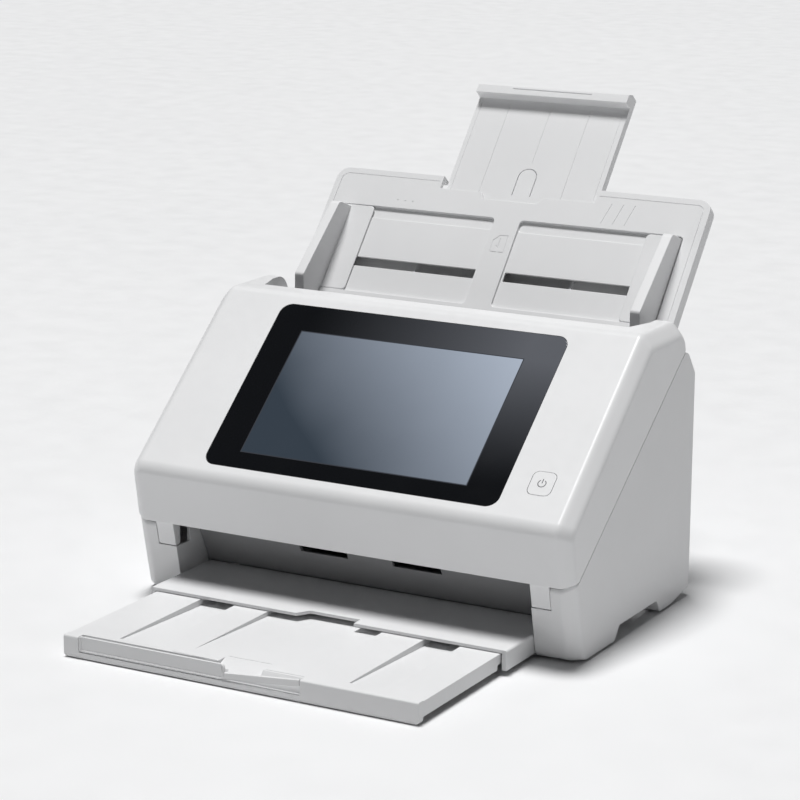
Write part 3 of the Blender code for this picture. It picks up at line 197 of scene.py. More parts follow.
def solid(name, loops, place=None):
    """Closed solid through loops of equal length."""
    mesh = bpy.data.meshes.new(name)
    bm = bmesh.new()
    rings = [[bm.verts.new(point) for point in loop] for loop in loops]
    count = len(rings[0])
    for low, high in zip(rings, rings[1:]):
        for i in range(count):
            j = (i + 1) % count
            bm.faces.new((low[i], low[j], high[j], high[i]))
    bm.faces.new(rings[0][::-1])
    bm.faces.new(rings[-1])
    bmesh.ops.recalc_face_normals(bm, faces=bm.faces)
    bm.to_mesh(mesh)
    bm.free()
    if place:
        mesh.transform(place)
    made = bpy.data.objects.new(name, mesh)
    bpy.context.scene.collection.objects.link(made)
    return made


def prism_x(name, outline, low, high, place=None):
    return solid(name, [[(x, y, z) for y, z in outline] for x in (low, high)], place)


def prism_y(name, outline, low, high, place=None):
    return solid(name, [[(x, y, z) for x, z in outline] for y in (low, high)], place)


def prism_z(name, outline, low, high, place=None):
    return solid(name, [[(x, y, z) for x, y in outline] for z in (low, high)], place)


def box(name, x, y, z, place=None):
    return prism_z(name, rectangle(x, y), z[0], z[1], place)


def apply_modifiers(obj):
    """Turn what the modifiers make into the object's own mesh."""
    bpy.context.view_layer.update()
    graph = bpy.context.evaluated_depsgraph_get()
    mesh = bpy.data.meshes.new_from_object(obj.evaluated_get(graph))
    obj.modifiers.clear()
    old = obj.data
    obj.data = mesh
    bpy.data.meshes.remove(old)
    return obj


def combine(target, other, operation):
    modifier = target.modifiers.new("combine", "BOOLEAN")
    modifier.operation = operation
    modifier.solver = "EXACT"
    modifier.object = other
    apply_modifiers(target)
    bpy.data.objects.remove(other, do_unlink=True)
    return target


def cut(target, other):
    return combine(target, other, "DIFFERENCE")


def join(target, other):
    return combine(target, other, "UNION")


def round_edges(obj, width, segments=3, angle=30):
    """Merge flat faces and round every edge by width, in the mesh itself."""
    bm = bmesh.new()
    bm.from_mesh(obj.data)
    bmesh.ops.remove_doubles(bm, verts=bm.verts, dist=1e-6)
    bmesh.ops.dissolve_limit(bm, angle_limit=math.radians(0.4), verts=bm.verts, edges=bm.edges)
    bm.to_mesh(obj.data)
    bm.free()
    bevel = obj.modifiers.new("round_edges", "BEVEL")
    bevel.width = width
    bevel.segments = segments
    bevel.limit_method = "ANGLE"
    bevel.angle_limit = math.radians(angle)
    bevel.use_clamp_overlap = False
    bevel.miter_outer = "MITER_ARC"
    return apply_modifiers(obj)


def finish_piece(obj, body, nodes, surface, angle=40):
    """Shade the piece, give it its material, and put it in place of its CAD nodes."""
    obj.data.shade_smooth()
    obj.data.set_sharp_from_angle(angle=math.radians(angle))
    flats = obj.modifiers.new("flats", "WEIGHTED_NORMAL")
    flats.keep_sharp = True
    obj.data.materials.clear()
    obj.data.materials.append(surface)
    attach(obj, body)
    if nodes:
        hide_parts(*nodes)
    return obj


def stroke(points, width):
    """Outline of a line of some width through (x, t) points, with mitred bends."""
    points = [Vector(point) for point in points]
    lines = [(q - p).normalized() for p, q in zip(points, points[1:])]
    left, right = [], []
    for i, point in enumerate(points):
        before, after = lines[max(i - 1, 0)], lines[min(i, len(lines) - 1)]
        normal = Vector((-before.y - after.y, before.x + after.x)).normalized()
        reach = width / 2 / max(0.3, normal.dot(Vector((-after.y, after.x))))
        left.append(tuple(point + normal * reach))
        right.append(tuple(point - normal * reach))
    return left + right[::-1]


def engrave(target, paths, width, deep, top, place):
    """Cut lines through (x, t) points into the face at height top of a plane."""
    tools = [prism_z("groove", stroke(points, width), top - deep, top + deep, place)
             for points in paths]
    merged = bmesh.new()
    for tool in tools:
        merged.from_mesh(tool.data)
    merged.to_mesh(tools[0].data)
    merged.free()
    for tool in tools[1:]:
        bpy.data.objects.remove(tool, do_unlink=True)
    return cut(target, tools[0])


# ---------------------------------------------------------------- materials

class Surface:
    """A material being made: its node tree, its Principled shader and its coordinates."""

    def __init__(self, name, roughness, metallic=0.0):
        self.material = bpy.data.materials.new(name)
        self.material.use_nodes = True
        self.tree = self.material.node_tree
        self.shader = self.tree.nodes["Principled BSDF"]
        self.shader.inputs["Roughness"].default_value = roughness
        self.shader.inputs["Metallic"].default_value = metallic
        self.place = self.add("ShaderNodeTexCoord").outputs["Object"]

    def add(self, kind, **values):
        node = self.tree.nodes.new(kind)
        for key, value in values.items():
            if key in node.inputs:
                node.inputs[key].default_value = value
            else:
                setattr(node, key, value)
        return node

    def link(self, output, target):
        self.tree.links.new(output, target)

    def stretched(self, scale):
        """Object coordinates stretched by a factor for each axis."""
        node = self.add("ShaderNodeMapping")
        node.inputs["Scale"].default_value = scale
        self.link(self.place, node.inputs["Vector"])
        return node.outputs["Vector"]

    def noise(self, scale, detail=3.0, place=None):
        node = self.add("ShaderNodeTexNoise", Scale=scale, Detail=detail)
        self.link(place or self.place, node.inputs["Vector"])
        return node.outputs["Fac"]

    def remap(self, value, low, high, to_low, to_high):
        node = self.add("ShaderNodeMapRange")
        for index, number in enumerate((low, high, to_low, to_high), 1):
            node.inputs[index].default_value = number
        self.link(value, node.inputs[0])
        return node.outputs[0]

    def math(self, operation, first, second=None):
        node = self.add("ShaderNodeMath", operation=operation)
        for index, value in enumerate((first, second)):
            if value is None:
                continue
            if isinstance(value, (int, float)):
                node.inputs[index].default_value = value
            else:
                self.link(value, node.inputs[index])
        return node.outputs[0]

    def mix(self, factor, first, second):
        """Colour between two; each is a socket or an (r, g, b) tuple."""
        node = self.add("ShaderNodeMix", data_type="RGBA")
        self.link(factor, node.inputs[0])
        for socket, value in ((node.inputs[6], first), (node.inputs[7], second)):
            if isinstance(value, tuple):
                socket.default_value = (*value, 1.0)
            else:
                self.link(value, socket)
        return node.outputs[2]

    def edges(self, radius):
        """Mask that is 1 on outer and inner edges and 0 on flat faces."""
        rounded = self.add("ShaderNodeBevel", samples=4)
        rounded.inputs["Radius"].default_value = radius
        true = self.add("ShaderNodeNewGeometry").outputs["Normal"]
        dot = self.add("ShaderNodeVectorMath", operation="DOT_PRODUCT")
        self.link(rounded.outputs["Normal"], dot.inputs[0])
        self.link(true, dot.inputs[1])
        return self.remap(dot.outputs["Value"], 0.98, 0.8, 0.0, 1.0)

    def bump(self, height, strength, distance, under=None):
        node = self.add("ShaderNodeBump", Strength=strength, Distance=distance)
        self.link(height, node.inputs["Height"])
        if under:
            self.link(under, node.inputs["Normal"])
        self.link(node.outputs["Normal"], self.shader.inputs["Normal"])
        return node.outputs["Normal"]

    def set(self, name, output):
        self.link(output, self.shader.inputs[name])


def moulded(name, colour, roughness, grain=0.35, wear=0.5):
    """Moulded plastic: spark-eroded grain, slow tone changes, edges polished by handling."""
    made = Surface(name, roughness)
    slow = made.noise(9.0, 4.0)
    middle = made.noise(160.0, 5.0)
    fine = made.noise(2400.0, 2.0)
    darker = tuple(c * 0.965 for c in colour)
    lighter = tuple(min(1.0, c * 1.02) for c in colour)
    worn = tuple(min(1.0, c * 1.05 + 0.01) for c in colour)
    tone = made.mix(made.remap(slow, 0.3, 0.7, 0.0, 1.0), darker, lighter)
    edge = made.math("MULTIPLY", made.edges(0.7 * MM), made.remap(middle, 0.35, 0.65, 0.2, wear))
    made.set("Base Color", made.mix(edge, tone, worn))
    rough = made.remap(middle, 0.3, 0.7, roughness - 0.05, roughness + 0.06)
    made.set("Roughness", made.math("SUBTRACT", rough, made.math("MULTIPLY", edge, 0.12)))
    heights = made.math("ADD", fine, made.math("MULTIPLY", middle, 0.4))
    made.bump(heights, grain, 0.03 * MM)
    made.shader.inputs["IOR"].default_value = 1.5
    return made.material


def rubber(name, colour):
    made = Surface(name, 0.8)
    middle = made.noise(300.0, 4.0)
    made.set("Base Color", made.mix(middle, tuple(c * 0.7 for c in colour),
                                    tuple(c * 1.6 for c in colour)))
    made.set("Roughness", made.remap(made.noise(40.0), 0.3, 0.7, 0.68, 0.9))
    made.bump(made.noise(1800.0, 3.0), 0.5, 0.05 * MM)
    return made.material


def steel(name, colour, along=(1.0, 60.0, 60.0)):
    """Drawn or ground steel, with lines along one axis."""
    made = Surface(name, 0.3, 1.0)
    lines = made.noise(40.0, 5.0, made.stretched(along))
    made.set("Base Color", made.mix(lines, tuple(c * 0.82 for c in colour), colour))
    made.set("Roughness", made.remap(lines, 0.3, 0.7, 0.24, 0.42))
    made.bump(lines, 0.2, 0.01 * MM)
    return made.material


def circuit(name):
    """Solder mask over copper runs, with paler pads."""
    made = Surface(name, 0.4)
    cells = made.add("ShaderNodeTexVoronoi", distance="MANHATTAN", Scale=260.0)
    made.link(made.place, cells.inputs["Vector"])
    runs = made.remap(cells.outputs["Distance"], 0.30, 0.36, 0.0, 1.0)
    pads = made.remap(cells.outputs["Distance"], 0.16, 0.10, 0.0, 1.0)
    base = made.mix(runs, (0.012, 0.10, 0.035), (0.02, 0.16, 0.06))
    made.set("Base Color", made.mix(pads, base, (0.6, 0.58, 0.5)))
    made.set("Roughness", made.remap(made.noise(80.0), 0.3, 0.7, 0.3, 0.5))
    made.bump(runs, 0.4, 0.04 * MM)
    return made.material


def clear_glass(name, colour):
    """Dark glass over a sensor or panel, with faint wipe marks."""
    made = Surface(name, 0.06)
    wipes = made.noise(60.0, 4.0, made.stretched((0.15, 1.0, 1.0)))
    made.set("Roughness", made.remap(wipes, 0.4, 0.7, 0.04, 0.14))
    made.set("Base Color", made.mix(wipes, colour, tuple(c * 1.3 for c in colour)))
    made.bump(wipes, 0.05, 0.02 * MM)
    return made.material


def display(name):
    """Touch glass: black printed border, and the lit panel seen through it, both made lighter
    towards the top right by a painted reflection of a broad light.
    """
    made = Surface(name, 0.09)
    shift = made.add("ShaderNodeVectorMath", operation="SUBTRACT")
    made.link(made.place, shift.inputs[0])
    shift.inputs[1].default_value = (0.0, FOLD_Y, FOLD_Z)
    slope = made.add("ShaderNodeVectorMath", operation="DOT_PRODUCT")
    made.link(shift.outputs[0], slope.inputs[0])
    slope.inputs[1].default_value = (0.0, math.cos(SLANT_ANGLE), math.sin(SLANT_ANGLE))
    across = made.add("ShaderNodeSeparateXYZ")
    made.link(made.place, across.inputs[0])

    def inside(value, span, margin, soft):
        centre, half = (span[0] + span[1]) / 2, (span[1] - span[0]) / 2 + margin
        away = made.math("ABSOLUTE", made.math("SUBTRACT", value, centre))
        return made.remap(away, half - soft, half + soft, 1.0, 0.0)

    def area(margin, soft):
        return made.math("MULTIPLY", inside(across.outputs["X"], SCREEN_X, margin, soft),
                         inside(slope.outputs["Value"], SCREEN_S, margin, soft))

    # Painted reflection: the screen and the printed border get lighter towards the right and the
    # top, as if a broad light were reflected in the glass.
    right = made.remap(across.outputs["X"], SCREEN_X[0], SCREEN_X[1], 0.0, 1.0)
    up = made.remap(slope.outputs["Value"], SCREEN_S[0], SCREEN_S[1], 0.0, 1.0)
    slow = made.remap(made.noise(7.0), 0.3, 0.7, -0.04, 0.04)
    level = made.math("ADD", made.math("MULTIPLY", right, 0.62), made.math("MULTIPLY", up, 0.38))
    level = made.math("ADD", level, slow)
    screen_with_reflection = made.mix(made.remap(level, 0.2, 1.0, 0.0, 1.0), SCREEN_UNREFLECTED, SCREEN_WITH_PAINTED_REFLECTION)
    painted_reflection = made.math("POWER", made.math("MULTIPLY", up, right), 1.5)
    border = made.mix(painted_reflection, BORDER_DARK, BORDER_PAINTED_REFLECTION)
    ring = made.mix(area(0.7 * MM, 0.1 * MM), border, (0.05, 0.055, 0.066))
    made.set("Base Color", made.mix(area(0.0, 0.12 * MM), ring, screen_with_reflection))
    smudge = made.remap(made.noise(28.0, 6.0), 0.35, 0.75, 0.06, 0.16)
    made.set("Roughness", smudge)
    made.shader.inputs["IOR"].default_value = 1.5
    made.bump(made.noise(5.0, 1.0), 0.05, 0.05 * MM)
    return made.material


WHITE = moulded("white_housing", (0.82, 0.822, 0.828), 0.42)
COVER_WHITE = moulded("white_cover", (0.87, 0.872, 0.878), 0.36, grain=0.22)
CHUTE_WHITE = moulded("white_chute", (0.85, 0.852, 0.858), 0.46)
# Grey for the walls and parts inside the bay, made dark to paint the shade that falls in there.
BAY_GREY_PAINTED_SHADE = moulded("bay_wall", (0.36, 0.362, 0.37), 0.46)
DARK = moulded("dark_plastic", (0.03, 0.03, 0.033), 0.45)
NYLON = moulded("nylon", (0.72, 0.70, 0.62), 0.4)
INK = moulded("symbol_ink", (0.12, 0.12, 0.13), 0.5)
RUBBER = rubber("black_rubber", (0.018, 0.018, 0.019))
STEEL = steel("shaft_steel", (0.62, 0.62, 0.64))
SHEET_STEEL = steel("sheet_steel", (0.66, 0.67, 0.68), (8.0, 1.0, 40.0))
CIRCUIT = circuit("circuit_board")
SENSOR_GLASS = clear_glass("sensor_glass", (0.05, 0.09, 0.08))
PANEL_GLASS = clear_glass("panel_glass", (0.05, 0.06, 0.08))
DISPLAY = display("touch_display")


# ---------------------------------------------------------------- front cover, glass and button

def seam_height(d):
    """Height of the seam between the cover and the side housings at some depth."""
    slope = (SEAM_HIGH[1] - SEAM_LOW[1]) / (SEAM_HIGH[0] - SEAM_LOW[0])
    return SEAM_LOW[1] + slope * (d - SEAM_LOW[0])


def seam_ends(front, drop, share):
    """Front end of the seam, drop below the seam itself, as two corners.

    front is the foot and head (depth, height) of the front face.  share grows from 0 on
    the front face to 1 on the side face, where the seam starts deeper and higher.
    """
    d = SEAM_LOW[0] + share * SEAM_SHIFT
    height = seam_height(d) - drop
    (d0, z0), (d1, z1) = front
    on_face = d0 + (d1 - d0) * (height - z0) / (z1 - z0)
    return (depth(on_face), height), (depth(d), height)


def soft_sides(corners, insets, sides):
    """Loops of a shell whose chamfers along its sides have soft edges.

    corners(share) gives the profile, and insets how far its edges move in at share 1.
    """
    edge, soft = BODY_HALF - EDGE_X, 0.3
    steps = []
    for k in range(5):
        u = k / 4
        steps.append((edge + soft * EDGE_X * (u * u - (1 - u) ** 2), soft * u * u))
    for k in range(5):
        u = k / 4
        steps.append((BODY_HALF - soft * EDGE_X * (1 - u) ** 2,
                      1 + soft * (u * u - (1 - u) ** 2)))
    loops = []
    for x, share in steps:
        moved = inset_corners(corners(share), [share * distance for distance in insets])
        loops.append([(x, y, z) for y, z in round_corners(moved)])
    if sides == 2:
        return [[(-x, y, z) for x, y, z in loop] for loop in loops[::-1]] + loops
    return [[(sides * x, y, z) for x, y, z in loop] for loop in loops]


def cover_corners(share=0.0):
    top = depth(SLANT_LENGTH * math.cos(SLANT_ANGLE))
    foot, start = seam_ends((COVER_BOTTOM, (0, FOLD_Z)), 0, share)
    return [
        (*foot, 0),
        (depth(0), FOLD_Z, 10 * MM),
        (top, TOP_Z, 10 * MM),
        (depth(COVER_REAR), TOP_Z, (13 - 4 * share) * MM),
        (depth(COVER_REAR), seam_height(COVER_REAR), 0),
        (*start, 0),
    ]


def build_cover():
    insets = [FRONT_IN, EDGE_IN, TOP_IN, REAR_IN, 0, 0]
    cover = solid("cover_shell", soft_sides(cover_corners, insets, 2))
    behind, heights = depth(190 * MM), (40 * MM, 200 * MM)
    inlet = [(-INLET_HALF, depth(INLET_DEPTH)), (INLET_HALF, depth(INLET_DEPTH)),
             (SHOULDER_HALF, depth(SHOULDER_DEPTH)), (SHOULDER_HALF, behind),
             (-SHOULDER_HALF, behind), (-SHOULDER_HALF, depth(SHOULDER_DEPTH))]
    cut(cover, prism_z("inlet", inlet, *heights))
    inner = inset_corners(cover_corners(), [SHELL, SHELL, SHELL, SHELL, -4 * MM, -4 * MM])
    inside = round_corners([(y, z, max(0, radius - SHELL)) for y, z, radius in inner])
    wall = EDGE_X - 1.5 * MM + SHELL
    shoulder = SHOULDER_HALF + SHELL
    for low, high in ((-BODY_HALF + wall, -shoulder), (shoulder, BODY_HALF - wall)):
        cut(cover, prism_x("hollow", inside, low, high))
    middle = prism_x("hollow", inside, -shoulder - MM, shoulder + MM)
    keep = rectangle((depth(INLET_DEPTH) - SHELL, behind), heights)
    cut(middle, prism_x("keep", keep, -BODY_HALF, BODY_HALF))
    cut(cover, middle)
    round_edges(cover, 0.5 * MM, 2)
    bottom, high = GLASS_S
    seat = rounded_rectangle((-GLASS_HALF - GAP, GLASS_HALF + GAP), (bottom - GAP, high + GAP),
                             GLASS_RADIUS + GAP, 12)
    cut(cover, prism_z("seat", seat, -GLASS_THICK - GAP, 5 * MM, SLANT))
    window = rectangle((-WINDOW_HALF, WINDOW_HALF), WINDOW_S)
    cut(cover, prism_z("window", window, -8 * MM, 5 * MM, SLANT))
    x, s = BUTTON_AT
    half_x, half_s = BUTTON_SIZE[0] / 2 + 0.32 * MM, BUTTON_SIZE[1] / 2 + 0.32 * MM
    hole = rounded_rectangle((x - half_x, x + half_x), (s - half_s, s + half_s), 4.3 * MM, 8)
    cut(cover, prism_z("hole", hole, -6 * MM, 5 * MM, SLANT))
    finish_piece(cover, "cover", ["front_cover"], COVER_WHITE)


def build_glass():
    outline = rounded_rectangle((-GLASS_HALF, GLASS_HALF), GLASS_S, GLASS_RADIUS, 12)
    glass = prism_z("display_glass", outline, -GLASS_THICK, 0, SLANT)
    round_edges(glass, 0.3 * MM)
    finish_piece(glass, "cover", ["touch_glass"], DISPLAY)


def build_button():
    x, s = BUTTON_AT
    half_x, half_s = BUTTON_SIZE[0] / 2, BUTTON_SIZE[1] / 2
    top = 0.15 * MM
    cap = rounded_rectangle((x - half_x, x + half_x), (s - half_s, s + half_s), 4 * MM, 8)
    button = prism_z("button_cap", cap, -2.2 * MM, top, SLANT)
    join(button, prism_z("stem", circle(3 * MM, 24, (x, s)), -5.7 * MM, -2 * MM, SLANT))
    round_edges(button, 0.35 * MM)
    finish_piece(button, "button", ["power_button"], COVER_WHITE)
    outer, inner = 2.9 * MM, 2.3 * MM
    start, steps = math.radians(125), 24
    sweep = math.radians(290)
    arc = [start + sweep * k / steps for k in range(steps + 1)]
    ring = [(x + outer * math.cos(a), s + outer * math.sin(a)) for a in arc]
    ring += [(x + inner * math.cos(a), s + inner * math.sin(a)) for a in reversed(arc)]
    low, high = top - 0.05 * MM, top + 0.03 * MM
    symbol = prism_z("power_symbol_ring", ring, low, high, SLANT)
    finish_piece(symbol, "button", [], INK)
    mark = rounded_rectangle((x - 0.3 * MM, x + 0.3 * MM), (s + 0.1 * MM, s + 3.4 * MM),
                             0.25 * MM, 3)
    bar = prism_z("power_symbol_bar", mark, low, high, SLANT)
    finish_piece(bar, "button", [], INK)


# ---------------------------------------------------------------- housing

def pillar_outline(wall):
    back = depth(BAY_DEPTH)
    corners = [
        (depth(PILLAR_FOOT[0]), PILLAR_FOOT[1], 6 * MM),
        (depth(PILLAR_HEAD[0]), PILLAR_HEAD[1], 3.5 * MM),
        (back, COVER_BOTTOM[1] - GAP, 0),
        (back, PILLAR_FOOT[1], 0),
    ]
    if wall:
        corners = inset_corners(corners, [wall, wall, -MM, wall])
        corners = [(y, z, max(0, radius - wall)) for y, z, radius in corners]
    return round_corners(corners)


def side_corners(share=0.0):
    rear = depth(REAR_DEPTH)
    head, start = seam_ends((PILLAR_FOOT, PILLAR_HEAD), GAP, share)
    return [
        (depth(PILLAR_FOOT[0]), PILLAR_FOOT[1], 6 * MM),
        (*head, (3.5 - 1.7 * share) * MM),
        (*start, 0),
        (depth(SEAM_HIGH[0]), SEAM_HIGH[1] - GAP, 0),
        (depth(178.5 * MM), 164.5 * MM, 5 * MM),
        (rear, REAR_TOP, 5 * MM),
        (rear, 5.5 * MM, 3 * MM),
        (depth(163 * MM), BODY_BOTTOM, 0),
        (depth(ARCH_END), BODY_BOTTOM, 2 * MM),
        (depth(ARCH_END - 5 * MM), ARCH_TOP, 4 * MM),
        (depth(ARCH_START + 7 * MM), ARCH_TOP, 3 * MM),
        (depth(ARCH_START), BODY_BOTTOM, 3 * MM),
    ]


def build_side(side, name, node):
    insets = [FRONT_IN, 0, 0, 1.4 * MM, REAR_IN, REAR_IN, MM, 0, 0, 0, 0, 0]
    edge = BODY_HALF - EDGE_X
    rim = edge - SHELL
    loops = soft_sides(side_corners, insets, side)
    loops.insert(0, [(side * rim, y, z) for _, y, z in loops[0]])
    cover = solid(name, loops)
    hollow = [
        (depth(BAY_DEPTH - 2 * MM), 12.5 * MM),
        (depth(BAY_DEPTH - 2 * MM), seam_height(BAY_DEPTH) - 8 * MM),
        (depth(166 * MM), seam_height(166 * MM) - 7 * MM),
        (depth(174 * MM), 158 * MM),
        (depth(REAR_DEPTH - 4 * MM), 146 * MM),
        (depth(REAR_DEPTH - 4 * MM), 12.5 * MM),
    ]
    cut(cover, prism_x("hollow", hollow, side * (rim - MM), side * INNER_HALF))
    join(cover, prism_x("pillar", pillar_outline(0), side * PILLAR_HALF, side * (rim + 0.1 * MM)))
    cut(cover, prism_x("hollow", pillar_outline(SHELL),
                       side * (PILLAR_HALF + SHELL), side * (edge - MM)))
    arm = side * (ARM_X[1] + GAP)
    cut(cover, box("slot", sorted((side * (PILLAR_HALF - MM), arm)),
                   (depth(0), depth(28 * MM)), (34.8 * MM, 53 * MM)))
    join(cover, box("boss", sorted((arm, side * (ARM_X[1] + 5 * MM))),
                    (depth(10.6 * MM), depth(17 * MM)), (42 * MM, 49.6 * MM)))
    round_edges(cover, 0.4 * MM, 2)
    finish_piece(cover, "base", [node], WHITE)


def build_shelf():
    front, back = depth(SHELF_FRONT), depth(BAY_DEPTH)
    under = TRAY_TOP + 0.4 * MM
    wall = SHELF_HALF - SHELF_WALL
    outline = round_corners([
        (-SHELF_HALF, 3.3 * MM, 0), (-wall, 3.3 * MM, 0), (-wall, under, 0), (wall, under, 0),
        (wall, 3.3 * MM, 0), (SHELF_HALF, 3.3 * MM, 0), (SHELF_HALF, SHELF_TOP, 1.5 * MM),
        (-SHELF_HALF, SHELF_TOP, 1.5 * MM),
    ], 4)
    shelf = prism_y("exit_shelf", outline, front, back)
    notch = round_corners([
        (-26 * MM, front - MM, 0), (-19 * MM, front, 3 * MM), (-14 * MM, front + 8.5 * MM, 3 * MM),
        (22 * MM, front + 8.5 * MM, 0), (22 * MM, front - MM, 0),
    ], 6)
    cut(shelf, prism_z("notch", notch, under - MM, SHELF_TOP + MM))
    round_edges(shelf, 0.4 * MM, 2)
    finish_piece(shelf, "base", ["output_shelf"], WHITE)


# ---------------------------------------------------------------- tray and stopper

def build_tray():
    front, rear = depth(TRAY_FRONT), depth(8 * MM)
    lip_back = front + LIP_DEPTH
    ceiling = 7.2 * MM
    profile = [
        (front, LIP_BOTTOM, 1.2 * MM), (front, LIP_TOP, 1.2 * MM), (lip_back, LIP_TOP, 0),
        (lip_back, TRAY_TOP, 0), (rear, TRAY_TOP, 0), (rear, ceiling, 0),
        (depth(-22 * MM), ceiling, 0), (depth(-22 * MM), TRAY_SKIRT, 0),
        (lip_back, TRAY_SKIRT, 0), (lip_back, LIP_BOTTOM, 0),
    ]
    tray = prism_x("sliding_tray", round_corners(profile, 4), -TRAY_HALF, TRAY_HALF)
    inner = TRAY_HALF - 2.6 * MM
    cut(tray, box("hollow", (-inner, inner), (lip_back, depth(-20 * MM)), (2 * MM, ceiling)))
    start = depth(-108.6 * MM)
    above = TRAY_TOP + MM
    wedge = [(start, above), (start, TRAY_TOP - 1.2 * MM), (rear + MM, TRAY_TOP - 5 * MM),
             (rear + MM, above)]
    for low, high in CHANNELS:
        cut(tray, prism_x("channel", wedge, low, high))
    dish = [(depth(-106 * MM), above), (depth(-106 * MM), TRAY_TOP),
            (depth(-22 * MM), TRAY_TOP - 3 * MM), (rear + MM, TRAY_TOP - 3 * MM),
            (rear + MM, above)]
    cut(tray, prism_x("dish", dish, -40 * MM, 42 * MM))
    low, middle, high = STOPPER_X
    above = LIP_TOP + MM
    flap_seat = [(front - MM, 4.4 * MM), (front + 2.8 * MM, 4.4 * MM),
                 (front + 7 * MM, TRAY_TOP - MM), (front + 7 * MM, above), (front - MM, above)]
    cut(tray, prism_x("flap_seat", flap_seat, low - 0.4 * MM, middle + 0.4 * MM))
    bar_seat = [(front - MM, 4.4 * MM), (front + 2.8 * MM, 4.4 * MM), (front + 4.4 * MM, above),
                (front - MM, above)]
    cut(tray, prism_x("bar_seat", bar_seat, middle - MM, high + 0.4 * MM))
    for reach, x in ((17 * MM, (middle - 8 * MM, NOTCH_HALF)),
                     (7 * MM, (NOTCH_HALF - MM, high + 0.4 * MM))):
        slope = [(front + 2 * MM, 8.6 * MM), (front + reach, LIP_TOP), (front + reach, above),
                 (front + 2 * MM, above)]
        cut(tray, prism_x("slope", slope, *x))
    radius = 2.5 * MM
    for side in (-1, 1):
        end, under = side * TRAY_HALF, LIP_BOTTOM - MM
        arc = [(end - side * radius * (1 - math.sin(angle)),
                LIP_BOTTOM + radius * (1 - math.cos(angle)))
               for angle in (math.pi / 2 * k / 8 for k in range(9))]
        corner = arc + [(end + side * MM, arc[-1][1]), (end + side * MM, under), (arc[0][0], under)]
        cut(tray, prism_y("corner", corner, front - MM, lip_back + 0.2 * MM))
    round_edges(tray, 0.4 * MM, 2)
    creases = [[(-48.8 * MM, -113 * MM), (-17 * MM, -114 * MM)],
               [(-15 * MM, -103.7 * MM), (15 * MM, -103.2 * MM)],
               [(17 * MM, -113.4 * MM), (43 * MM, -113 * MM)]]
    engrave(tray, creases, 0.5 * MM, 0.5 * MM, TRAY_TOP, Matrix.Translation((0, FOLD_Y, 0)))
    finish_piece(tray, "tray", ["tray_extension"], WHITE)


def build_stopper():
    low, middle, high = STOPPER_X
    _, y, z = STOPPER_AXIS
    front, back = y - 2.7 * MM, y - 0.3 * MM
    face = round_corners([
        (low, z - 8.1 * MM, 0.8 * MM), (middle, z - 8.1 * MM, 2.5 * MM),
        (middle, z + 1.3 * MM, 2.5 * MM), (low, z + 1.3 * MM, 0.8 * MM),
    ], 5)
    flap = prism_y("stopper_flap", face, front, back)
    bar = [(middle - 4 * MM, z - 8 * MM), (high, z - 3 * MM), (high, z + 0.9 * MM),
           (middle - 4 * MM, z - 4 * MM)]
    join(flap, prism_y("bar", bar, front + 0.1 * MM, back - 0.1 * MM))
    pocket = round_corners([
        (low + 1.2 * MM, z - 7 * MM, 0.5 * MM), (middle - 1.2 * MM, z - 7 * MM, 2 * MM),
        (middle - 1.2 * MM, z + 3 * MM, 0), (low + 1.2 * MM, z + 3 * MM, 0),
    ], 5)
    cut(flap, prism_y("pocket", pocket, front - MM, front + 0.8 * MM))
    for end, reach in ((low, -3 * MM), (high, 3 * MM)):
        x = sorted((end + reach, end - reach / 3))
        stub = [(y + a, z + b) for a, b in circle(0.8 * MM, 16)]
        join(flap, prism_x("stub", stub, x[0], x[1]))
    round_edges(flap, 0.3 * MM, 2, 40)
    finish_piece(flap, "stopper", ["paper_stopper"], WHITE)


# ---------------------------------------------------------------- chute, extension and guides

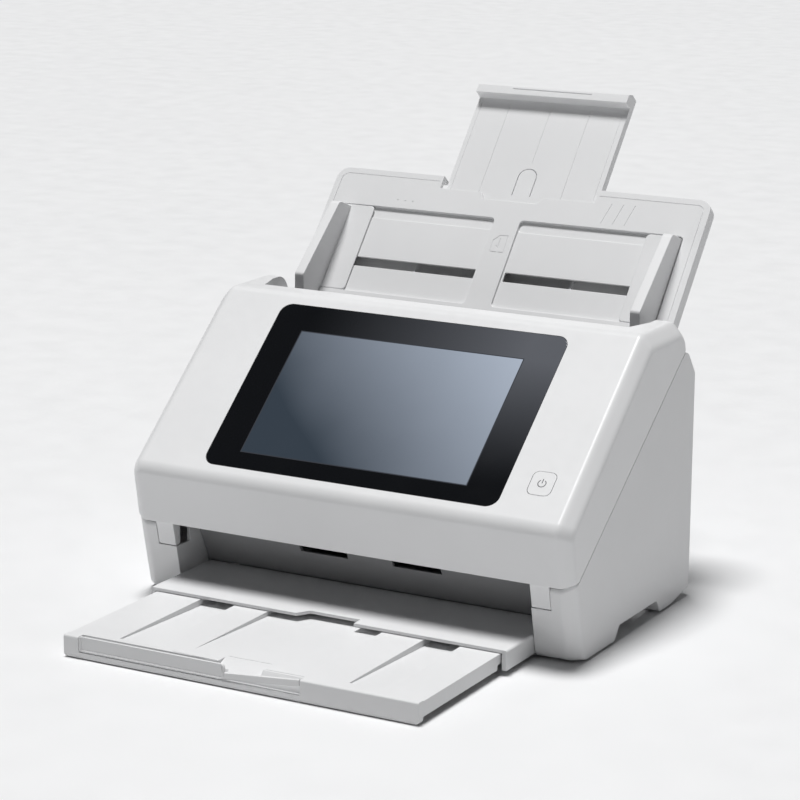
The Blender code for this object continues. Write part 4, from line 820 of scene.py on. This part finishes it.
def build_chute():
    outline = round_corners([
        (-CHUTE_HALF, CHUTE_FOOT, 0), (CHUTE_HALF, CHUTE_FOOT, 0),
        (CHUTE_HALF, CHUTE_HEAD, 9 * MM), (-CHUTE_HALF, CHUTE_HEAD, 9 * MM),
    ])
    chute = prism_z("chute_panel", outline, -CHUTE_THICK, 0, CHUTE)
    rim = 2.6 * MM
    hollow = round_corners([
        (-CHUTE_HALF + rim, CHUTE_FOOT - MM, 0), (CHUTE_HALF - rim, CHUTE_FOOT - MM, 0),
        (CHUTE_HALF - rim, CHUTE_HEAD - rim, 7 * MM), (-CHUTE_HALF + rim, CHUTE_HEAD - rim, 7 * MM),
    ])
    cut(chute, prism_z("hollow", hollow, -CHUTE_THICK - MM, -PANEL, CHUTE))
    notch = rectangle((-EXT_HALF - MM, EXT_HALF + MM), (NOTCH_T, CHUTE_HEAD + MM))
    cut(chute, prism_z("notch", notch, -CHUTE_THICK - MM, MM, CHUTE))
    dip = [(-27 * MM, NOTCH_T + MM), (-24 * MM, NOTCH_T - 5 * MM), (17 * MM, NOTCH_T - 5 * MM),
           (22 * MM, NOTCH_T + MM)]
    cut(chute, prism_z("dip", dip, -CHUTE_THICK - MM, MM, CHUTE))
    outer_x = GUIDE_WALL[1] + 0.6 * MM
    for side in (-1, 1):
        x = sorted((side * SPINE_HALF, side * outer_x))
        recess = rounded_rectangle(x, RECESS_T, 3 * MM)
        cut(chute, prism_z("recess", recess, -RECESS, MM, CHUTE))
        band = rounded_rectangle(x, (RECESS_T[1] - 8.5 * MM, RECESS_T[1]), 3 * MM)
        cut(chute, prism_z("band", band, -RECESS - 0.7 * MM, MM, CHUTE))
        x = sorted((side * (SPINE_HALF + 1.5 * MM), side * 119 * MM))
        cut(chute, prism_z("slot", rectangle(x, SLOT_T), -PANEL - MM, MM, CHUTE))
        tab = rectangle((side * TAB_X - 5 * MM, side * TAB_X + 5 * MM),
                        (CHUTE_FOOT - 26 * MM, CHUTE_FOOT + 4 * MM))
        join(chute, prism_z("tab", tab, -6.5 * MM, -PANEL + 0.5 * MM, CHUTE))
    stud = circle(2 * MM, 24, (0, PINION_T))
    join(chute, prism_z("stud", stud, -5.6 * MM, -PANEL + 0.5 * MM, CHUTE))
    round_edges(chute, 0.4 * MM, 2)
    engrave_chute(chute)
    finish_piece(chute, "chute", ["paper_chute"], CHUTE_WHITE)


def engrave_chute(chute):
    """Line inside the rim, ticks and dots for sheet sizes, and the small sheet symbol."""
    inset = 4.6 * MM
    edge_line = round_corners([
        (-CHUTE_HALF + inset, CHUTE_FOOT + MM, 0),
        (-CHUTE_HALF + inset, CHUTE_HEAD - inset, 5 * MM),
        (-EXT_HALF - 3 * MM, CHUTE_HEAD - inset, 0),
    ], 6)
    mirrored = [(-x, t) for x, t in edge_line]
    engrave(chute, [edge_line, mirrored], 0.45 * MM, 0.4 * MM, 0, CHUTE)
    ticks = [[(68 * MM + 8.5 * MM * k, 67.5 * MM), (71.5 * MM + 8.5 * MM * k, 83.5 * MM)]
             for k in range(3)]
    engrave(chute, ticks, 0.5 * MM, 0.3 * MM, 0, CHUTE)
    dots = [[(-88 * MM + 6 * MM * k, 70 * MM), (-86.8 * MM + 6 * MM * k, 70.4 * MM)]
            for k in range(3)]
    engrave(chute, dots, 0.9 * MM, 0.3 * MM, 0, CHUTE)
    sheet = [(0, 38 * MM), (-5 * MM, 38 * MM), (-5 * MM, 47 * MM), (-1 * MM, 51 * MM),
             (5 * MM, 51 * MM), (5 * MM, 38 * MM), (1.2 * MM, 38 * MM)]
    arrow = [(0, 48.5 * MM), (0, 41 * MM), (-2 * MM, 43 * MM)]
    engrave(chute, [sheet, arrow], 0.5 * MM, 0.3 * MM, 0, CHUTE)


def build_extension():
    sheet = 2.4 * MM
    middle = rectangle((-EXT_HALF, EXT_HALF), (EXT_FOOT, EXT_HEAD))
    extension = prism_z("extension_panel", middle, EXT_BACK, EXT_FRONT, CHUTE)
    inner = EXT_HALF - 2.6 * MM
    cut(extension, prism_z("hollow", rectangle((-inner, inner), (EXT_FOOT - MM, EXT_HEAD - 5 * MM)),
                           EXT_BACK - MM, EXT_FRONT - sheet, CHUTE))
    lip = [(EXT_HEAD - 8 * MM, EXT_FRONT - MM), (EXT_HEAD - 8 * MM, 1.5 * MM),
           (EXT_HEAD - 1.5 * MM, 1.5 * MM), (EXT_HEAD + 2 * MM, EXT_FRONT + 2 * MM),
           (EXT_HEAD + 2 * MM, EXT_BACK), (EXT_HEAD - MM, EXT_BACK)]
    join(extension, prism_x("lip", lip, -EXT_HALF, EXT_HALF, CHUTE))
    round_edges(extension, 0.4 * MM, 2)
    arch = [(-6.8 * MM, 86 * MM)]
    arch += [(-6.8 * MM * math.cos(math.pi * k / 14),
              101 * MM + 6.8 * MM * math.sin(math.pi * k / 14)) for k in range(15)]
    arch.append((6.8 * MM, 86 * MM))
    engrave(extension, [arch], 0.7 * MM, 1.2 * MM, EXT_FRONT, CHUTE)
    creases = [[(x, low), (x, EXT_HEAD - 10 * MM)]
               for x, low in ((-32 * MM, 84 * MM), (0, 112 * MM), (30 * MM, 84 * MM))]
    engrave(extension, creases, 0.4 * MM, 0.3 * MM, EXT_FRONT, CHUTE)
    edge = EXT_HALF - 3.6 * MM
    sides = [[(x, 84 * MM), (x, EXT_HEAD - 9 * MM)] for x in (-edge, edge)]
    engrave(extension, sides, 0.4 * MM, 0.25 * MM, EXT_FRONT, CHUTE)
    long_line = [(-30 * MM, EXT_HEAD - 3.4 * MM), (30 * MM, EXT_HEAD - 3.4 * MM)]
    engrave(extension, [long_line], 0.8 * MM, 0.6 * MM, 1.5 * MM, CHUTE)
    finish_piece(extension, "extension", ["chute_extension"], CHUTE_WHITE)


def rack_outline(side):
    """Rack of one guide in the chute plane; the left one passes above the pinion."""
    pitch = math.pi * MM
    line = PINION_T - side * MM * (PINION_TEETH / 2 + 0.02)
    half = pitch / 4 - 0.12 * MM
    lean = math.tan(math.radians(20))
    foot, tip = half + 1.2 * MM * lean, half - 0.9 * MM * lean
    tooth = [(-foot, 1.2 * MM), (-tip, -0.9 * MM), (tip, -0.9 * MM), (foot, 1.2 * MM)]
    teeth = []
    for k in range(RACK_TEETH):
        centre = side * pitch * (RACK_TEETH - 3.5 - k)
        teeth += [(centre - side * a, line - side * b) for a, b in tooth]
    root, back = line - side * 1.2 * MM, line - side * 4.2 * MM
    near, far, block = teeth[-1][0] - side * 1.5 * MM, side * 118 * MM, side * 107 * MM
    low = PINION_T + side * 3.2 * MM
    return [(far, back), (far, low), (block, low), (block, root)] + teeth + [
        (near, root), (near, back)]


def build_guide(side, name, node, body):
    seat = -RECESS + 0.2 * MM
    foot = RECESS_T[0] + 0.4 * MM
    wall = round_corners([
        (foot, seat, 0), (62 * MM, seat, 0), (62 * MM, 0.5 * MM, 2 * MM),
        (56.6 * MM, 15.4 * MM, 5 * MM), (-8.4 * MM, 25.5 * MM, 3 * MM),
        (-20.6 * MM, 15.2 * MM, 2.5 * MM), (-8 * MM, MM, 2 * MM), (foot, 0.4 * MM, 0),
    ], 6)
    guide = prism_x(name, wall, side * GUIDE_WALL[0], side * GUIDE_WALL[1], CHUTE)
    plate_x = sorted((side * GUIDE_PLATE_X, side * (GUIDE_WALL[1] - MM)))
    plate = rounded_rectangle(plate_x, (foot, RECESS_T[1] - 0.4 * MM), 3 * MM)
    join(guide, prism_z("plate", plate, seat, -0.2 * MM, CHUTE))
    neck = rectangle(sorted((side * 108 * MM, side * 117 * MM)),
                     (SLOT_T[0] + 0.3 * MM, SLOT_T[1] - 0.3 * MM))
    join(guide, prism_z("neck", neck, -5.3 * MM, seat + 0.2 * MM, CHUTE))
    round_edges(guide, 0.5 * MM)
    join(guide, prism_z("rack", rack_outline(side), -5.6 * MM, -3.6 * MM, CHUTE))
    finish_piece(guide, body, [node], CHUTE_WHITE)


# ---------------------------------------------------------------- smaller housing parts

def build_rear_cover():
    half = BODY_HALF - EDGE_X - SHELL - GAP
    rear = depth(REAR_DEPTH)
    outline = round_corners([
        (rear - 3 * MM, 4 * MM, 0), (rear, 4 * MM, 0), (rear, LEDGE_TOP, 2 * MM),
        (depth(157 * MM), LEDGE_TOP, 0), (depth(157 * MM), LEDGE_TOP - SHELL, 0),
        (rear - 3 * MM, LEDGE_TOP - SHELL, 0),
    ], 4)
    cover = prism_x("rear_panel", outline, -half, half)
    cut(cover, box("step", (-126.5 * MM, 126.5 * MM), (depth(150 * MM), depth(168 * MM)),
                   (LEDGE_TOP - 5 * MM, LEDGE_TOP + MM)))
    low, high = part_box("port_plate")
    cut(cover, box("plate_hole", (low.x - GAP, high.x + GAP), (rear - 6 * MM, rear + MM),
                   (low.z - GAP, high.z + GAP)))
    for side in (-1, 1):
        x = side * TAB_X
        cut(cover, box("tab_hole", (x - 5.5 * MM, x + 5.5 * MM),
                       (depth(160 * MM), depth(169.5 * MM)), (LEDGE_TOP - 5 * MM, LEDGE_TOP + MM)))
    round_edges(cover, 0.4 * MM, 2)
    finish_piece(cover, "base", ["rear_cover"], WHITE)


def build_exit_guide():
    lean = [(50 * MM, SHELF_TOP + GAP), (52.4 * MM, SHELF_TOP + GAP), (39.4 * MM, 44.5 * MM),
            (36.8 * MM, 44 * MM)]
    wall = prism_x("bay_wall", [(depth(d), z) for d, z in lean],
                   -PILLAR_HALF + GAP, PILLAR_HALF - GAP)
    for side in (-1, 1):
        x = sorted((side * 16.5 * MM, side * 51.5 * MM))
        cut(wall, box("window", x, (depth(30 * MM), depth(60 * MM)), (36 * MM, 42.6 * MM)))
    round_edges(wall, 0.4 * MM, 2)
    # The wall takes the grey that paints the shade in the bay.
    finish_piece(wall, "base", ["exit_guide"], BAY_GREY_PAINTED_SHADE)


def build_hinge_arm(side, name, node):
    top = COVER_BOTTOM[1] - GAP
    corners = [
        (9.8 * MM, top + 3 * MM, 0), (9.8 * MM, top, 0), (8.35 * MM, top, 0),
        (11.85 * MM, 35.3 * MM, 0.8 * MM), (17 * MM, 35.3 * MM, 1.5 * MM),
        (17 * MM, top + 3 * MM, 0),
    ]
    outline = round_corners([(depth(d), z, radius) for d, z, radius in corners], 4)
    arm = prism_x(name, outline, *sorted((side * ARM_X[0], side * ARM_X[1])))
    round_edges(arm, 0.5 * MM)
    finish_piece(arm, "cover", [node], COVER_WHITE)


def build_chute_back():
    half = EXT_HALF + GAP + 2 * MM
    floor = EXT_BACK - GAP
    channel = prism_z("chute_channel",
                      rectangle((-half, half), (CHUTE_FOOT + 2 * MM, NOTCH_T - 4 * MM)),
                      floor - 2 * MM, -PANEL - GAP, CHUTE)
    panel = rectangle((-CHUTE_HALF + 3 * MM, CHUTE_HALF - 3 * MM), (-14 * MM, NOTCH_T - 4 * MM))
    join(channel, prism_z("panel", panel, -CHUTE_THICK + 0.2 * MM, -CHUTE_THICK + 1.6 * MM,
                          CHUTE))
    inner = EXT_HALF + GAP
    cut(channel, prism_z("channel", rectangle((-inner, inner), (-200 * MM, 200 * MM)),
                         floor, MM, CHUTE))
    way = rectangle((-half - MM, half + MM), (PINION_T - 17 * MM, PINION_T + 17 * MM))
    cut(channel, prism_z("rack_way", way, -5.6 * MM - GAP, MM, CHUTE))
    round_edges(channel, 0.3 * MM, 2)
    finish_piece(channel, "chute", ["chute_back_cover"], CHUTE_WHITE)


def dress(surface, *nodes, width=0.25 * MM):
    """Give CAD nodes that stay on view a finish, with softened edges."""
    for name in nodes:
        obj = frame["nodes"][name]
        obj.data.materials.clear()
        obj.data.materials.append(surface)
        obj.modifiers.new("merge", "WELD").merge_threshold = 1e-6
        flat = obj.modifiers.new("flat", "DECIMATE")
        flat.decimate_type = "DISSOLVE"
        flat.angle_limit = math.radians(0.5)
        bevel = obj.modifiers.new("round_edges", "BEVEL")
        bevel.width = width
        bevel.segments = 2
        bevel.limit_method = "ANGLE"
        bevel.angle_limit = math.radians(35)
        bevel.harden_normals = True


build_cover()
build_glass()
build_button()
build_side(-1, "left_housing", "left_side_cover")
build_side(1, "right_housing", "right_side_cover")
build_shelf()
build_tray()
build_stopper()
build_chute()
build_extension()
build_guide(-1, "left_sheet_guide", "left_guide", "guide_left")
build_guide(1, "right_sheet_guide", "right_guide", "guide_right")
build_rear_cover()
build_exit_guide()
build_hinge_arm(-1, "left_cover_arm", "left_hinge_arm")
build_hinge_arm(1, "right_cover_arm", "right_hinge_arm")
build_chute_back()

# The bay's inner parts take the grey that paints the shade in the bay.
dress(BAY_GREY_PAINTED_SHADE, "base_pan", "lower_paper_guide", "upper_paper_guide")
dress(DARK, "lower_image_sensor", "upper_image_sensor", "power_jack")
dress(SENSOR_GLASS, "lower_sensor_glass", "upper_sensor_glass", width=0.15 * MM)
dress(PANEL_GLASS, "lcd_panel")
dress(RUBBER, "foot_front_left", "foot_front_right", "foot_rear_left", "foot_rear_right",
      "exit_tyre", "conveyor_tyre", "feed_tyre", "separation_tyre", "drive_belt",
      width=0.15 * MM)
dress(SHEET_STEEL, "left_frame", "right_frame", "feed_motor", "port_plate", "usb_port",
      "lan_port")
dress(STEEL, "motor_pinion", "exit_shaft", "conveyor_shaft", "feed_shaft", "separation_shaft",
      "left_hinge_pin", "right_hinge_pin", width=0.1 * MM)
dress(CIRCUIT, "main_board", "display_board", width=0.1 * MM)
dress(NYLON, "exit_pulley", "conveyor_pulley", "conveyor_gear", "transfer_gear", "idler_gear",
      "feed_gear", "guide_pinion", "exit_pinch_roller", "conveyor_pinch_roller", width=0.1 * MM)


# ---------------------------------------------------------------- floor, lights and camera

def make_floor():
    floor = prism_z("floor", circle(9.0, 96), -0.02, 0.0)
    surface = Surface("pale_floor", 0.55)
    tone = surface.remap(surface.noise(1.3, 2.0), 0.3, 0.7, 0.0, 1.0)
    surface.set("Base Color", surface.mix(tone, (0.86, 0.862, 0.868), (0.875, 0.877, 0.882)))
    surface.set("Roughness", surface.remap(surface.noise(30.0), 0.3, 0.7, 0.5, 0.62))
    surface.bump(surface.noise(220.0, 2.0), 0.05, 0.1 * MM)
    floor.data.materials.append(surface.material)


def make_lights():
    """One broad key straight overhead, in a dim room."""
    lamp = bpy.data.lights.new("key", "SUN")
    lamp.energy = KEY_STRENGTH
    lamp.angle = math.radians(16)
    key = bpy.data.objects.new("key", lamp)
    key.rotation_euler = Vector((-0.10, 0.02, 0.995)).to_track_quat("Z", "Y").to_euler()
    bpy.context.scene.collection.objects.link(key)
    world = bpy.data.worlds.new("studio")
    world.use_nodes = True
    background = world.node_tree.nodes["Background"]
    background.inputs["Color"].default_value = (0.96, 0.98, 1.0, 1.0)
    background.inputs["Strength"].default_value = WORLD_STRENGTH
    bpy.context.scene.world = world


def make_camera():
    """Look back along the line from the target to the camera, rolled a little about it."""
    level = math.cos(VIEW_ELEVATION)
    back = Vector((math.sin(VIEW_AZIMUTH) * level, -math.cos(VIEW_AZIMUTH) * level,
                   math.sin(VIEW_ELEVATION)))
    right = Vector((math.cos(VIEW_AZIMUTH), math.sin(VIEW_AZIMUTH), 0))
    up = back.cross(right)
    tilted_right = math.cos(VIEW_ROLL) * right + math.sin(VIEW_ROLL) * up
    tilted_up = math.cos(VIEW_ROLL) * up - math.sin(VIEW_ROLL) * right
    lens = bpy.data.cameras.new("camera")
    lens.sensor_width = 36
    lens.lens = FOCAL_LENGTH
    lens.clip_end = 50
    camera = bpy.data.objects.new("camera", lens)
    turn = Matrix((tilted_right, tilted_up, back)).transposed().to_4x4()
    camera.matrix_world = Matrix.Translation(VIEW_TARGET + back * VIEW_DISTANCE) @ turn
    bpy.context.scene.collection.objects.link(camera)
    bpy.context.scene.camera = camera


make_floor()
make_lights()
make_camera()
bpy.context.scene.view_settings.view_transform = "Standard"
